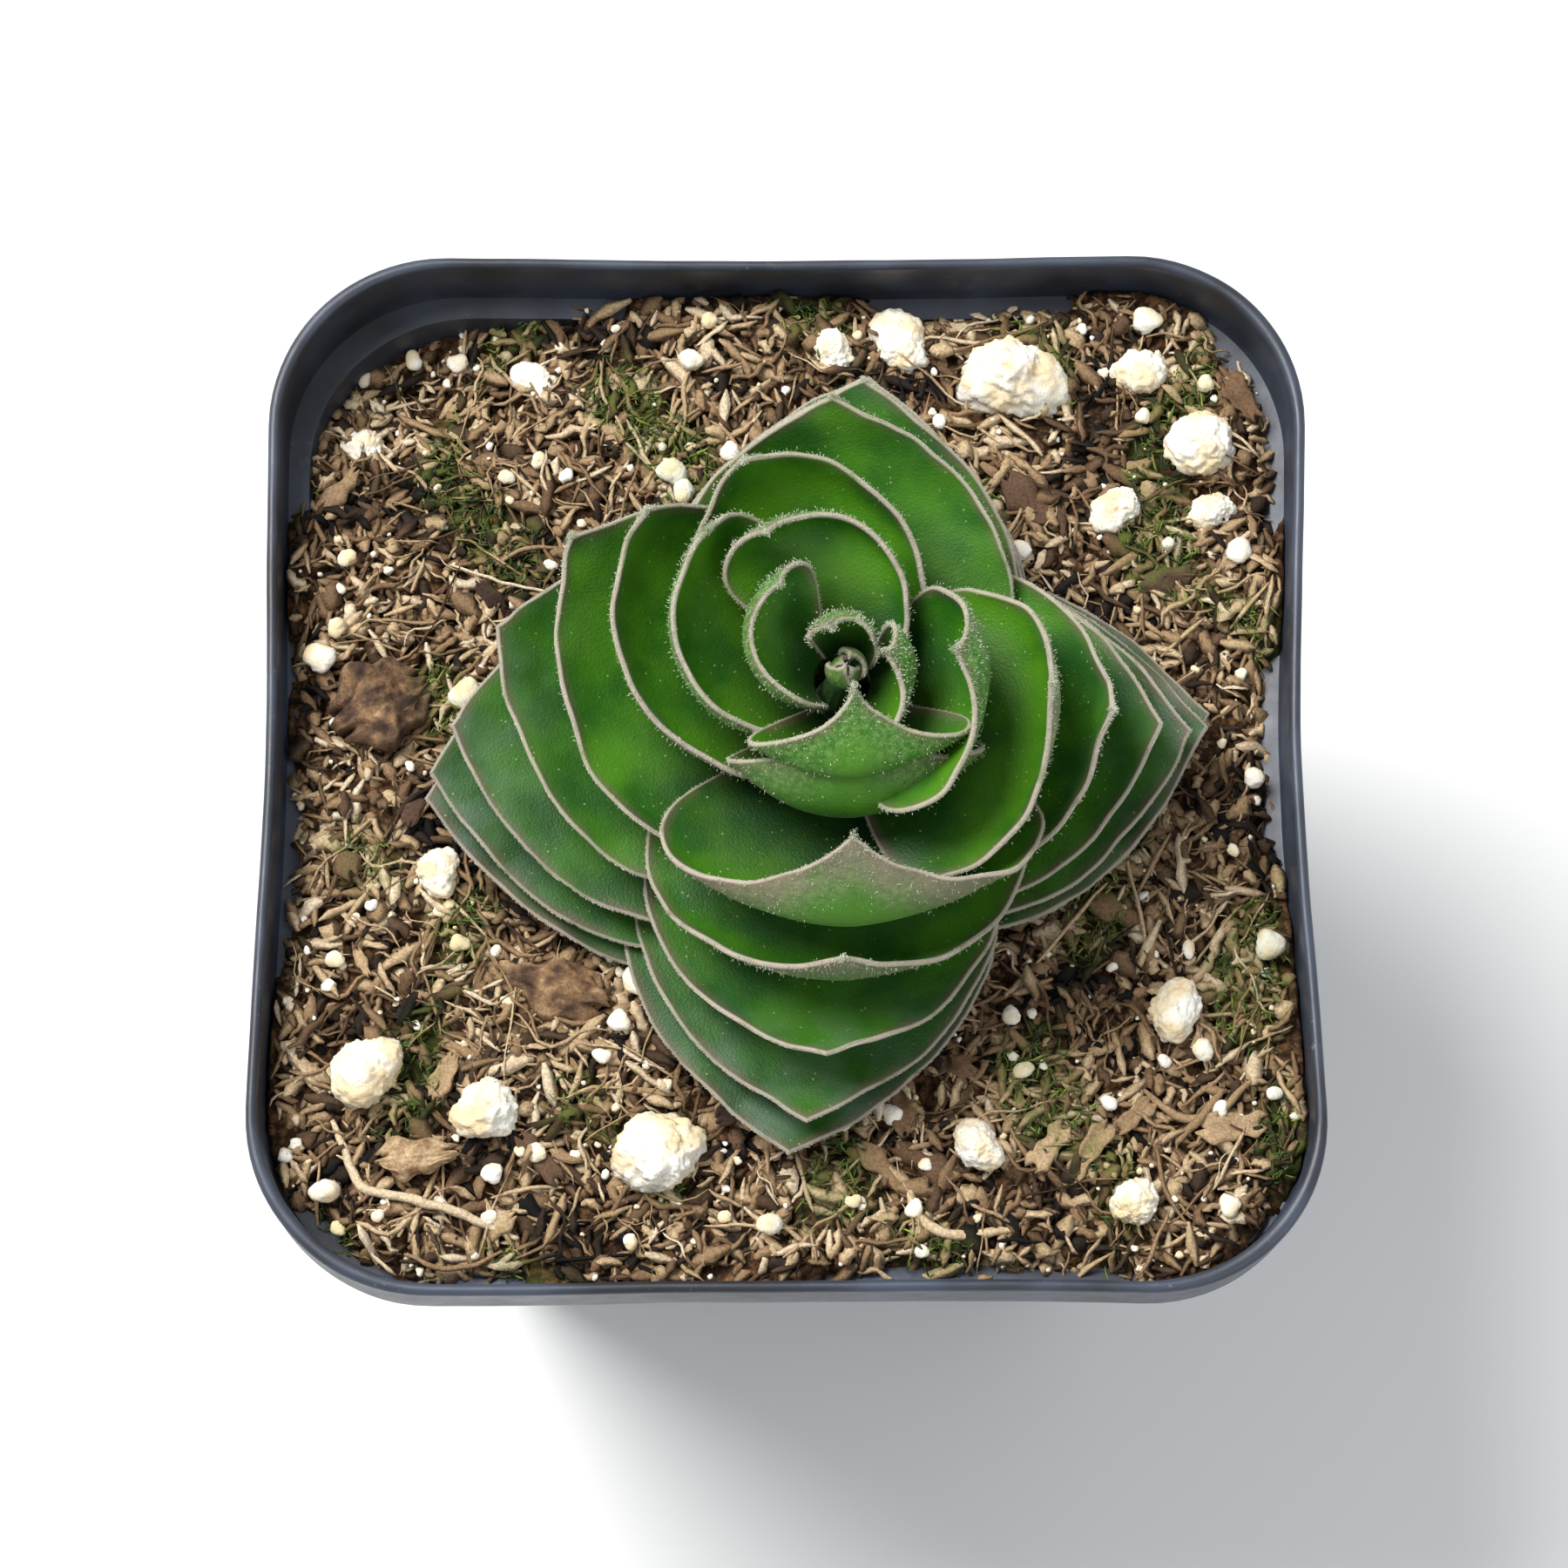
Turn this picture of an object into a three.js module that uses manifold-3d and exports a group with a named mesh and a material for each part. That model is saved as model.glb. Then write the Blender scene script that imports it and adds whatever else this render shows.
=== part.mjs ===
// A rosette succulent with leaves in four ranks, in a thin square nursery pot of potting mix.
// Millimetres, +Z up. The origin is the middle of the pot's flat base; +X is east and +Y is north.

import * as THREE from 'three';
import { mergeVertices } from 'three/addons/utils/BufferGeometryUtils.js';
import Module from 'manifold-3d';

const wasm = await Module();
wasm.setup();

// Pot
const POT_HEIGHT = 52;
const RIM_HALF = 27.1; // half the outside width over the corners, at the lip
const BASE_HALF = 19.5;
const STRETCH = 1.012; // how much longer the pot is from north to south than across
const WALL = 0.6;
const LIP_HEIGHT = 4.4;
const LIP_BOTTOM = POT_HEIGHT - LIP_HEIGHT;
const LIP_STEP = 0.7; // how far the lip stands out from the wall
const FLOOR = 1.2;
const CORNER_RADIUS = 9.2;
const WAISTS = { east: 0.9, north: 0.3, west: 0.45, south: 0.15 }; // how far each side's middle is drawn in
const POT_SECTION_POINTS = 48;
const CORNER_CROWD = 0.15; // how closely the outline's points crowd at the corners
const BASE_ROUNDING = 0.8;
const RIM_ROUNDING = { in: 0.15, down: 0.4 };
const DRAIN_RADIUS = 3;
const DRAIN_OFFSET = 11;
const DRAIN_SIDES = 20;

// Potting mix
const GAP = 0.3; // clearance between pieces that touch
const LEAF_GAP = 0.25; // the same between leaves that press together
const TRACE = 0.0001; // volume, in cubic mm, below which two pieces count as clear of each other
const SOIL_LEVEL = 48.3;
const SOIL_SLOPE = 0.02; // the mix's fall per mm towards the north
const SOIL_RINGS = [1, 0.8, 0.6, 0.4, 0.2]; // rings of the top, as shares of its width
const MOUND_HEIGHT = 0.22;
const RIPPLE_HEIGHT = 0.14;
const SOIL_DIP = { x: -20, y: 24, reach: 9, depth: 3.4 }; // the hollow in the north-west corner
const SINK = 0.3; // the share of its radius that a grain's middle lies above the mix

// Plant
const AXIS = { x: 1.6, y: -0.3, leanX: 0.069, leanY: 0.06 }; // the stem's place and its lean per mm of height
const STEM_RADIUS = 1.9;
const STEM_TOP = { z: 65, radius: 0.6, taper: 57 }; // the growing point, and where the stem starts to taper
const FIRST_LEVEL = 49.4; // height of the lowest pair of leaves
const LEVEL_STEP = 1; // height from one pair to the next, which stands across it

// Leaf blade
const BLADE_ROWS = 8;
const BLADE_COLUMNS = 8;
const PLAIN_CLASP = 78; // how many degrees an unfolded leaf's flank reaches round the stem
const PLAIN_BELLY = 0.42; // the fullness of an unfolded leaf's midrib, as a share of its span
const ROOT_GAP = 0.6; // from the stem's surface to the middle of a blade's base
const EDGE_THICKNESS = 0.34;
const BASE_THICKNESS = 0.55;
const MIDRIB_SWELL = { by: 0.5, power: 1.2 }; // how much thicker the blade is half way up
const EDGE_THINNING = 1.5; // how soon the blade thins towards its edge
const FLANK_FADE = 1.15; // how the flanks draw in towards the tip
const TURN_POWER = 1.5; // how late along the blade it swings towards its point
const PINCH_ANGLE = 60; // degrees from the midrib at which pinch and flare are stated
const ROOM_SPREAD = 0.4; // how much wider a thickened blade is, as a share for each mm
const TIP_CUT = 0.985; // where the blade ends, short of a sharp point
const TIP_CROWD = 1.5; // how closely the rows crowd towards the tip

const degrees = THREE.MathUtils.degToRad;

// How the rosette grows. Levels count up the stem, and the west and east ranks take turns with the north
// and south ones. root is the direction of a rank's lowest base, in degrees from east, and drift turns the
// base of each level on from it. vigour scales the rank's reach, and at the level closing it has folded in
// over the heart. Its tips swing round by turn degrees between the two levels of turning. Its folded leaves
// have two flanks, clockwise first: clasp is how many degrees a flank reaches round the stem, pinch the share
// of the leaf's reach by which it is drawn in towards the axis 60 degrees from the midrib, and flare how many
// mm it stands out there. belly is how full the midrib's curve is, as a share of its span.
const RANKS = {
  west: {
    leaves: 8, firstLevel: 0, root: 185, drift: -1.5, vigour: 1, closing: 15, turn: -30, turning: [3, 10],
    clasp: [50, 80], pinch: [0, 0.6], flare: [0, 0], belly: 0.42,
  },
  east: {
    leaves: 8, firstLevel: 0, root: 8, drift: -1.5, vigour: 0.98, closing: 13, turn: 15, turning: [9, 13],
    clasp: [70, 60], pinch: [0, 0.3], flare: [2, 0], belly: 0.6,
  },
  north: {
    leaves: 8, firstLevel: 1, root: 82, drift: 0.5, vigour: 1.03, closing: 15, turn: 35, turning: [8, 12],
    clasp: [75, 50], pinch: [0.65, 0], flare: [0, 0], belly: 0.45,
  },
  south: {
    leaves: 7, firstLevel: 1, root: 264, drift: 1, vigour: 1, closing: 10.7, turn: 0, turning: [7, 12],
    clasp: [65, 65], pinch: [0, 0], flare: [1, 3], belly: 0.95,
  },
};
const TIP_REACH = { full: 20.4, bud: 1.6, power: 0.8 }; // from the stem's axis, and how the reach falls off
const TIP_HEIGHT = { lowest: 51, crown: 67.8, crownLevel: 13 }; // the tips from that level on share a height
const TIP_SLOPE = { lowest: 8, upright: 95, most: 150, lead: 4 }; // upright this many levels before closing
const BASE_SLOPE = { bud: 40, level: 14, power: 4 }; // a blade's slope at its base, reached at that level
const BLUNTNESS = { lowest: 2, closed: 4, power: 3 }; // how far up the blade its full width goes
const FOLDING = { share: 0.62, levels: 1 }; // leaves fold from that share of closing, within those levels

// The stem's profile from its foot up, as height and radius, and the roots that fork from it.
const STEM_SIDES = 14;
const STEM_PROFILE = [
  [33, 0.7],
  [38, 1.3],
  [44, STEM_RADIUS],
  [STEM_TOP.taper, STEM_RADIUS],
  [STEM_TOP.z - 1, STEM_TOP.radius + 0.1],
  [STEM_TOP.z, STEM_TOP.radius / 2],
];
const ROOT_COLLAR = 41;
const ROOT_RADIUS = 0.5;
const ROOT_BEND = 25; // degrees that a root turns along its length
const ROOTS = [
  { turn: 20, length: 12, fall: 14 },
  { turn: 110, length: 10, fall: 20 },
  { turn: 200, length: 13, fall: 10 },
  { turn: 290, length: 11, fall: 17 },
];

// Loose pieces on the mix: where each lies, its size and the seed of its shape.
const PERLITE = [
  { x: 6, y: 23.5, size: 3.5, seed: 0.4 },
  { x: 11.5, y: 22, size: 5.5, seed: 1.3 },
  { x: 18.5, y: 22, size: 3, seed: 2.1 },
  { x: 22, y: 18, size: 3.5, seed: 3.7 },
  { x: 22.5, y: 14.5, size: 2.5, seed: 4.2 },
  { x: 17.5, y: 14.5, size: 2.5, seed: 5.5 },
  { x: 2.5, y: 23, size: 2.5, seed: 6.1 },
  { x: -13, y: 22, size: 2.5, seed: 0.9 },
  { x: -22.5, y: 18.5, size: 2.5, seed: 2.6 },
  { x: -18, y: -5, size: 2.5, seed: 1.9, squash: 0.6 },
  { x: -21, y: -15.5, size: 3.5, seed: 3.2 },
  { x: -15, y: -17.5, size: 3.5, seed: 4.9 },
  { x: -6.5, y: -20, size: 4.5, seed: 5.8 },
  { x: 19.5, y: -12.5, size: 3.5, seed: 0.2 },
  { x: 9.5, y: -19.5, size: 2.5, seed: 1.1 },
  { x: 17.5, y: -22.5, size: 2.5, seed: 2.9 },
];
const LUMP_ROUGHNESS = 0.14;
const CHIP_CORNERS = 11;
const CHIP_RAGGEDNESS = 0.16;
const CHIPS = [
  { x: -12, y: -11, length: 5, width: 2.5, thick: 0.8, turn: -20, tilt: 12, seed: 0.5 },
  { x: -21, y: 3.5, length: 5, width: 4, thick: 1.1, turn: 30, tilt: -14, seed: 2.2 },
  { x: -18.5, y: -20, length: 3.5, width: 1.5, thick: 0.9, turn: 5, tilt: 8, seed: 4.1 },
];
const TWIG_LIFT = 0.8; // the share of its radius that a twig's middle lies above the mix
const TWIGS = [
  { radius: 0.28, route: [[-23, -18], [-21.5, -21.5, 0.2], [-17.5, -22.5, 0.5], [-13.5, -24]] },
  { radius: 0.32, route: [[6, -21], [6.5, -23, 0.3], [8, -24, 0.2], [11.5, -23.5]] },
  { radius: 0.26, route: [[18, -16.5], [19.5, -18, 0.3], [21.5, -18, 0.4], [23.5, -16]] },
];

const material = (color, roughness, metalness = 0) =>
  new THREE.MeshStandardMaterial({ color, roughness, metalness });

const potPlastic = () => material(0x1a1c20, 0.45);
const soilMix = () => material(0x8a6a48, 0.95);
const stemSkin = () => material(0x7a8a4a, 0.8);
const leafSkin = () => material(0x2f7a1e, 0.5);
const perlite = () => material(0xf2eee2, 0.9);
const bark = () => material(0x7a5236, 0.9);

const group = new THREE.Group();

function addMesh(name, geometry, finish) {
  const mesh = new THREE.Mesh(geometry, finish);
  mesh.name = name;
  group.add(mesh);
}

// A closed skin over rings of points, all rings with the same count, from the bottom up.
function loft(rings) {
  const count = rings[0].length;
  const points = rings.flat();
  const faces = [];
  for (let ring = 0; ring < rings.length - 1; ring += 1) {
    for (let i = 0; i < count; i += 1) {
      const a = ring * count + i;
      const b = ring * count + ((i + 1) % count);
      faces.push(a, b, b + count, a, b + count, a + count);
    }
  }
  for (const [ring, flip] of [[0, true], [rings.length - 1, false]]) {
    const hub = points.length;
    const middle = new THREE.Vector3();
    rings[ring].forEach((p) => middle.addScaledVector(p, 1 / count));
    points.push(middle);
    for (let i = 0; i < count; i += 1) {
      const a = ring * count + i;
      const b = ring * count + ((i + 1) % count);
      faces.push(...(flip ? [hub, b, a] : [hub, a, b]));
    }
  }
  return fromPoints(points, faces);
}

function fromPoints(points, faces) {
  const geometry = new THREE.BufferGeometry();
  geometry.setAttribute('position', new THREE.Float32BufferAttribute(points.flatMap((p) => p.toArray()), 3));
  geometry.setIndex(faces);
  return geometry;
}

function toSolid(geometry) {
  const bare = geometry.clone();
  bare.deleteAttribute('normal');
  bare.deleteAttribute('uv');
  const merged = mergeVertices(bare, 1e-4);
  return new wasm.Manifold(new wasm.Mesh({
    numProp: 3,
    vertProperties: new Float32Array(merged.attributes.position.array),
    triVerts: new Uint32Array(merged.index.array),
  }));
}

function toGeometry(solid) {
  const { vertProperties, triVerts } = solid.getMesh();
  const geometry = new THREE.BufferGeometry();
  geometry.setAttribute('position', new THREE.BufferAttribute(new Float32Array(vertProperties), 3));
  geometry.setIndex(Array.from(triVerts));
  return geometry;
}

// One level of the pot's outline: a rounded square whose side middles are drawn in by the waist.
function potRing(half, z, inset = 0) {
  const size = half / RIM_HALF;
  const radius = CORNER_RADIUS * size;
  const straight = half - radius;
  const ring = [];
  for (let i = 0; i < POT_SECTION_POINTS; i += 1) {
    const share = ((i + 0.5) / POT_SECTION_POINTS) * 2 * Math.PI;
    const angle = share + CORNER_CROWD * Math.sin(4 * share);
    const x = Math.cos(angle);
    const y = Math.sin(angle);
    const distance = roundedSquare(x, y, straight, radius - inset);
    const waist = waistToward(x, y) * size * Math.cos(2 * angle) ** 2;
    const reach = distance - waist;
    ring.push(new THREE.Vector3(x * reach, y * reach * STRETCH, z));
  }
  return ring;
}

function waistToward(x, y) {
  if (Math.abs(x) > Math.abs(y)) return x > 0 ? WAISTS.east : WAISTS.west;
  return y > 0 ? WAISTS.north : WAISTS.south;
}

// How far a rounded square's edge is from its middle, along the direction (x, y).
function roundedSquare(x, y, straight, radius) {
  const [long, short] = [Math.max(Math.abs(x), Math.abs(y)), Math.min(Math.abs(x), Math.abs(y))];
  const flat = (straight + radius) / long;
  if (short * flat <= straight) return flat;
  const along = straight * (long + short);
  return along + Math.sqrt(along * along - 2 * straight * straight + radius * radius);
}

// Half the pot's outside width below the lip, at a height.
function wallHalf(z) {
  const under = RIM_HALF - LIP_STEP;
  return BASE_HALF + (under - BASE_HALF) * (z / POT_HEIGHT);
}

// The space inside the pot, drawn in by a clearance.
function potInside(clearance) {
  const inset = WALL + clearance;
  return toSolid(loft([
    potRing(wallHalf(0) - BASE_ROUNDING, FLOOR + clearance, inset),
    potRing(wallHalf(FLOOR + BASE_ROUNDING), FLOOR + clearance + BASE_ROUNDING, inset),
    potRing(wallHalf(LIP_BOTTOM), LIP_BOTTOM + clearance, inset),
    potRing(RIM_HALF - RIM_ROUNDING.in, LIP_BOTTOM + clearance + LIP_STEP, inset),
    potRing(RIM_HALF, POT_HEIGHT - RIM_ROUNDING.down, inset),
    potRing(RIM_HALF, POT_HEIGHT + 1, inset),
  ]));
}

function pot() {
  const outside = toSolid(loft([
    potRing(wallHalf(0) - BASE_ROUNDING, 0),
    potRing(wallHalf(BASE_ROUNDING), BASE_ROUNDING),
    potRing(wallHalf(LIP_BOTTOM - LIP_STEP), LIP_BOTTOM - LIP_STEP),
    potRing(RIM_HALF - RIM_ROUNDING.in, LIP_BOTTOM),
    potRing(RIM_HALF, POT_HEIGHT - RIM_ROUNDING.down),
    potRing(RIM_HALF - RIM_ROUNDING.in, POT_HEIGHT),
  ]));
  let shell = outside.subtract(potInside(0));
  for (const [x, y] of [[-1, -1], [1, -1], [1, 1], [-1, 1], [0, 0]]) {
    const hole = new THREE.CylinderGeometry(DRAIN_RADIUS, DRAIN_RADIUS, 3 * FLOOR, DRAIN_SIDES);
    hole.rotateX(Math.PI / 2);
    hole.translate(x * DRAIN_OFFSET, y * DRAIN_OFFSET, FLOOR / 2);
    shell = shell.subtract(toSolid(hole));
  }
  addMesh('pot', toGeometry(shell), potPlastic());
}

// The stem's axis at a height.
function axisAt(z) {
  const climb = z - SOIL_LEVEL;
  return { x: AXIS.x + AXIS.leanX * climb, y: AXIS.y + AXIS.leanY * climb };
}

function stemRadius(z) {
  const share = THREE.MathUtils.inverseLerp(STEM_TOP.taper, STEM_TOP.z, z);
  return THREE.MathUtils.lerp(STEM_RADIUS, STEM_TOP.radius, THREE.MathUtils.clamp(share, 0, 1));
}

// A leaf's facts at a level of its rank. All angles are in degrees.
function growth(rank, level) {
  const { lerp, smoothstep } = THREE.MathUtils;
  const quarter = Math.PI / 2;
  const age = Math.min(level / rank.closing, 1);
  const climb = Math.min(level / TIP_HEIGHT.crownLevel, 1);
  const foldStart = FOLDING.share * rank.closing;
  const folded = smoothstep(level, foldStart, foldStart + FOLDING.levels);
  const reach = lerp(TIP_REACH.bud, TIP_REACH.full * rank.vigour, Math.cos(quarter * age) ** TIP_REACH.power);
  const flank = (side) => [
    lerp(PLAIN_CLASP, rank.clasp[side], folded),
    folded * (rank.pinch[side] * reach - rank.flare[side]),
  ];
  const root = rank.root + rank.drift * level;
  const upright = (level / (rank.closing - TIP_SLOPE.lead)) ** 2;
  return {
    root,
    point: root + rank.turn * smoothstep(level, ...rank.turning),
    reach,
    top: lerp(TIP_HEIGHT.lowest, TIP_HEIGHT.crown, Math.sin(quarter * climb) ** 2),
    rise: BASE_SLOPE.bud * (level / BASE_SLOPE.level) ** BASE_SLOPE.power,
    hook: Math.min(lerp(TIP_SLOPE.lowest, TIP_SLOPE.upright, upright), TIP_SLOPE.most),
    blunt: lerp(BLUNTNESS.lowest, BLUNTNESS.closed, age ** BLUNTNESS.power),
    belly: lerp(PLAIN_BELLY, rank.belly, folded),
    cw: flank(0),
    ccw: flank(1),
  };
}

// A leaf's midrib, as the distance from the axis and the height at a share v of its length.
function midrib(leaf, base, v) {
  const start = new THREE.Vector2(stemRadius(base) + ROOT_GAP, base);
  const end = new THREE.Vector2(leaf.reach, leaf.top);
  const handle = leaf.belly * start.distanceTo(end);
  const [rise, hook] = [degrees(leaf.rise), degrees(leaf.hook)];
  const curve = new THREE.CubicBezierCurve(
    start,
    new THREE.Vector2(start.x + handle * Math.cos(rise), start.y + handle * Math.sin(rise)),
    new THREE.Vector2(end.x - handle * Math.cos(hook), end.y - handle * Math.sin(hook)),
    end,
  );
  return curve.getPoint(v);
}

// A point of the leaf's middle surface: u goes from flank to flank and v from base to tip.
function bladePoint(leaf, base, u, v) {
  const spine = midrib(leaf, base, v);
  const [clasp, pinch] = u < 0 ? leaf.cw : leaf.ccw;
  const aside = u * clasp * (1 - v ** leaf.blunt) ** FLANK_FADE;
  const turn = leaf.root + (leaf.point - leaf.root) * v ** TURN_POWER;
  const angle = degrees(turn + aside);
  const distance = spine.x - pinch * (aside / PINCH_ANGLE) ** 2 * v;
  const middle = axisAt(spine.y);
  return new THREE.Vector3(
    middle.x + distance * Math.cos(angle),
    middle.y + distance * Math.sin(angle),
    spine.y,
  );
}

function bladeNormal(leaf, base, u, v) {
  const step = 0.01;
  const along = bladePoint(leaf, base, u, Math.min(v + step, 1))
    .sub(bladePoint(leaf, base, u, Math.max(v - step, 0)));
  const across = bladePoint(leaf, base, u + step, v).sub(bladePoint(leaf, base, u - step, v));
  return across.cross(along).normalize();
}

// Half the blade's thickness: thin at the edge, thickest along the middle.
function bladeHalfThickness(leaf, u, v) {
  const middle = BASE_THICKNESS + MIDRIB_SWELL.by * Math.sin(Math.PI * v ** MIDRIB_SWELL.power);
  return (EDGE_THICKNESS + (middle - EDGE_THICKNESS) * Math.max(1 - u * u, 0) ** EDGE_THINNING) / 2;
}

// A blade is an upper and a lower sheet, joined by a strip round the edge. extra thickens it on both sides.
function leafGeometry(leaf, base, extra) {
  const points = [];
  for (const side of [1, -1]) {
    for (let row = 0; row <= BLADE_ROWS; row += 1) {
      const v = TIP_CUT * (1 - (1 - row / BLADE_ROWS) ** TIP_CROWD);
      for (let column = 0; column <= BLADE_COLUMNS; column += 1) {
        const u = Math.sin((column / BLADE_COLUMNS - 0.5) * Math.PI) * (1 + ROOM_SPREAD * extra);
        const offset = side * (bladeHalfThickness(leaf, u, v) + extra);
        points.push(bladePoint(leaf, base, u, v).addScaledVector(bladeNormal(leaf, base, u, v), -offset));
      }
    }
  }
  const width = BLADE_COLUMNS + 1;
  const sheet = width * (BLADE_ROWS + 1);
  const faces = [];
  const quad = (a, b, c, d) => faces.push(a, b, c, a, c, d);
  for (let row = 0; row < BLADE_ROWS; row += 1) {
    for (let column = 0; column < BLADE_COLUMNS; column += 1) {
      const a = row * width + column;
      quad(a, a + width, a + width + 1, a + 1);
      quad(sheet + a, sheet + a + 1, sheet + a + width + 1, sheet + a + width);
    }
  }
  for (let row = 0; row < BLADE_ROWS; row += 1) {
    const left = row * width;
    const right = left + BLADE_COLUMNS;
    quad(left, left + sheet, left + sheet + width, left + width);
    quad(right, right + width, right + sheet + width, right + sheet);
  }
  for (let column = 0; column < BLADE_COLUMNS; column += 1) {
    const tip = BLADE_ROWS * width + column;
    quad(column, column + 1, column + sheet + 1, column + sheet);
    quad(tip, tip + sheet, tip + sheet + 1, tip + 1);
  }
  return fromPoints(points, faces);
}

// The leaves from the lowest level up. Where two press together the lower one gives way.
function leaves() {
  const all = Object.entries(RANKS).flatMap(([name, rank]) =>
    Array.from({ length: rank.leaves }, (_, tier) => {
      const level = rank.firstLevel + 2 * tier;
      return {
        leaf: growth(rank, level),
        name: `leaf_${name}_${tier + 1}`,
        base: FIRST_LEVEL + LEVEL_STEP * level,
      };
    }));
  all.sort((a, b) => a.base - b.base);
  all.forEach(({ name, leaf, base }, i) => {
    let solid = toSolid(leafGeometry(leaf, base, 0));
    for (const other of all.slice(i + 1)) {
      const room = toSolid(leafGeometry(other.leaf, other.base, LEAF_GAP));
      if (solid.intersect(room).volume() > TRACE) solid = solid.subtract(room);
    }
    const [whole] = solid.decompose().sort((a, b) => b.volume() - a.volume());
    addMesh(name, toGeometry(whole), leafSkin());
  });
}

// The stem with its main roots, which fork from its foot. extra thickens it all, to make its socket.
function stemSolid(extra) {
  const rings = STEM_PROFILE.map(([z, radius]) => {
    const middle = axisAt(z);
    const end = z === STEM_PROFILE[0][0] ? -extra : 0;
    return Array.from({ length: STEM_SIDES }, (_, i) => {
      const angle = (2 * Math.PI * i) / STEM_SIDES;
      const distance = radius + extra;
      return new THREE.Vector3(
        middle.x + distance * Math.cos(angle),
        middle.y + distance * Math.sin(angle),
        z + end,
      );
    });
  });
  let solid = toSolid(loft(rings));
  for (const { turn, length, fall } of ROOTS) {
    const start = axisAt(ROOT_COLLAR);
    const route = [0, 0.35, 0.7, 1].map((share) => new THREE.Vector3(
      start.x + share * length * Math.cos(degrees(turn + ROOT_BEND * share)),
      start.y + share * length * Math.sin(degrees(turn + ROOT_BEND * share)),
      ROOT_COLLAR - fall * share * share,
    ));
    solid = solid.add(toSolid(tube(route, ROOT_RADIUS, extra)));
  }
  return solid;
}

// A round bar along a route. extra thickens it and lengthens both its ends.
function tube(route, radius, extra) {
  const [first, second] = route;
  const [last, beforeLast] = [...route].reverse();
  const start = first.clone().add(first.clone().sub(second).setLength(extra));
  const end = last.clone().add(last.clone().sub(beforeLast).setLength(extra));
  const path = new THREE.CatmullRomCurve3([start, ...route.slice(1, -1), end]);
  const section = new THREE.Shape();
  section.absarc(0, 0, radius + extra, 0, 2 * Math.PI);
  const steps = 3 * (route.length - 1);
  return new THREE.ExtrudeGeometry(section, { steps, extrudePath: path, curveSegments: 4 });
}

// The height of the mix's top: nearly level, with low mounds and a hollow in one corner.
function soilHeight(x, y) {
  const mounds = MOUND_HEIGHT * Math.sin(0.31 * x + 1) * Math.cos(0.27 * y);
  const ripples = RIPPLE_HEIGHT * Math.sin(0.55 * y - 0.4 * x);
  const away = ((x - SOIL_DIP.x) ** 2 + (y - SOIL_DIP.y) ** 2) / SOIL_DIP.reach ** 2;
  return SOIL_LEVEL - SOIL_SLOPE * y + mounds + ripples - SOIL_DIP.depth * Math.exp(-away);
}

function soil(sockets) {
  const edge = potRing(RIM_HALF, 0);
  const top = SOIL_RINGS.map((share) => edge.map(({ x, y }) =>
    new THREE.Vector3(x * share, y * share, soilHeight(x * share, y * share))));
  let mix = toSolid(loft([edge, ...top])).intersect(potInside(GAP));
  for (const socket of sockets) mix = mix.subtract(socket);
  addMesh('soil', toGeometry(mix), soilMix());
}

// A lump with a knobbly surface: a sphere pushed in and out by a few waves, each lump's own.
function lump({ x, y, size, seed, squash = 0.8 }, extra = 0) {
  const geometry = new THREE.IcosahedronGeometry(1, 1);
  const place = geometry.attributes.position;
  const radius = size / 2;
  const point = new THREE.Vector3();
  for (let i = 0; i < place.count; i += 1) {
    point.fromBufferAttribute(place, i);
    const wave = Math.sin(3.1 * point.x + seed) * Math.cos(2.7 * point.y + 2 * seed)
      + 0.6 * Math.sin(4.3 * point.z + 1.7 * seed + 2 * point.x);
    point.multiplyScalar(radius * (1 + LUMP_ROUGHNESS * wave) + extra);
    place.setXYZ(i, point.x, point.y, point.z * squash);
  }
  geometry.rotateZ(seed);
  geometry.translate(x, y, soilHeight(x, y) + SINK * radius);
  return geometry;
}

// A flat chip with a ragged outline, lying tilted on the mix.
function chip({ x, y, length, width, thick, turn, tilt, seed }, extra = 0) {
  const outline = new THREE.Shape();
  for (let i = 0; i < CHIP_CORNERS; i += 1) {
    const angle = (2 * Math.PI * i) / CHIP_CORNERS;
    const ragged = 1 + CHIP_RAGGEDNESS * Math.sin(5 * angle + seed);
    const across = (length / 2) * ragged + extra;
    const along = (width / 2) * ragged + extra;
    if (i === 0) outline.moveTo(across, 0);
    else outline.lineTo(across * Math.cos(angle), along * Math.sin(angle));
  }
  const geometry = new THREE.ExtrudeGeometry(outline, { depth: thick + 2 * extra, bevelEnabled: false });
  geometry.translate(0, 0, -thick / 2 - extra);
  geometry.rotateX(degrees(tilt));
  geometry.rotateZ(degrees(turn));
  geometry.translate(x, y, soilHeight(x, y) + thick / 2);
  return geometry;
}

// A loose root or twig, lying on the mix along a bent line.
function twig({ route, radius }, extra = 0) {
  const points = route.map(([x, y, lift = 0]) =>
    new THREE.Vector3(x, y, soilHeight(x, y) + radius * TWIG_LIFT + lift));
  return tube(points, radius, extra);
}

pot();
leaves();
addMesh('stem_and_roots', toGeometry(stemSolid(0)), stemSkin());
PERLITE.forEach((grain, i) => addMesh(`perlite_${i + 1}`, lump(grain), perlite()));
CHIPS.forEach((piece, i) => addMesh(`bark_chip_${i + 1}`, chip(piece), bark()));
TWIGS.forEach((piece, i) => addMesh(`twig_${i + 1}`, twig(piece), bark()));
soil([
  stemSolid(GAP),
  ...PERLITE.map((grain) => toSolid(lump(grain, GAP))),
  ...CHIPS.map((piece) => toSolid(chip(piece, GAP))),
  ...TWIGS.map((piece) => toSolid(twig(piece, GAP))),
]);

export default group;
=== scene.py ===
"""A rosette succulent in a thin square nursery pot of potting mix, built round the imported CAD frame.

Lengths are in millimetres until a mesh is made, and each mesh is in metres, in the frame's own place.
"""

import functools
import math

import bmesh
import bpy
import numpy as np
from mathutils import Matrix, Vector, noise
from mathutils.bvhtree import BVHTree


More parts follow.
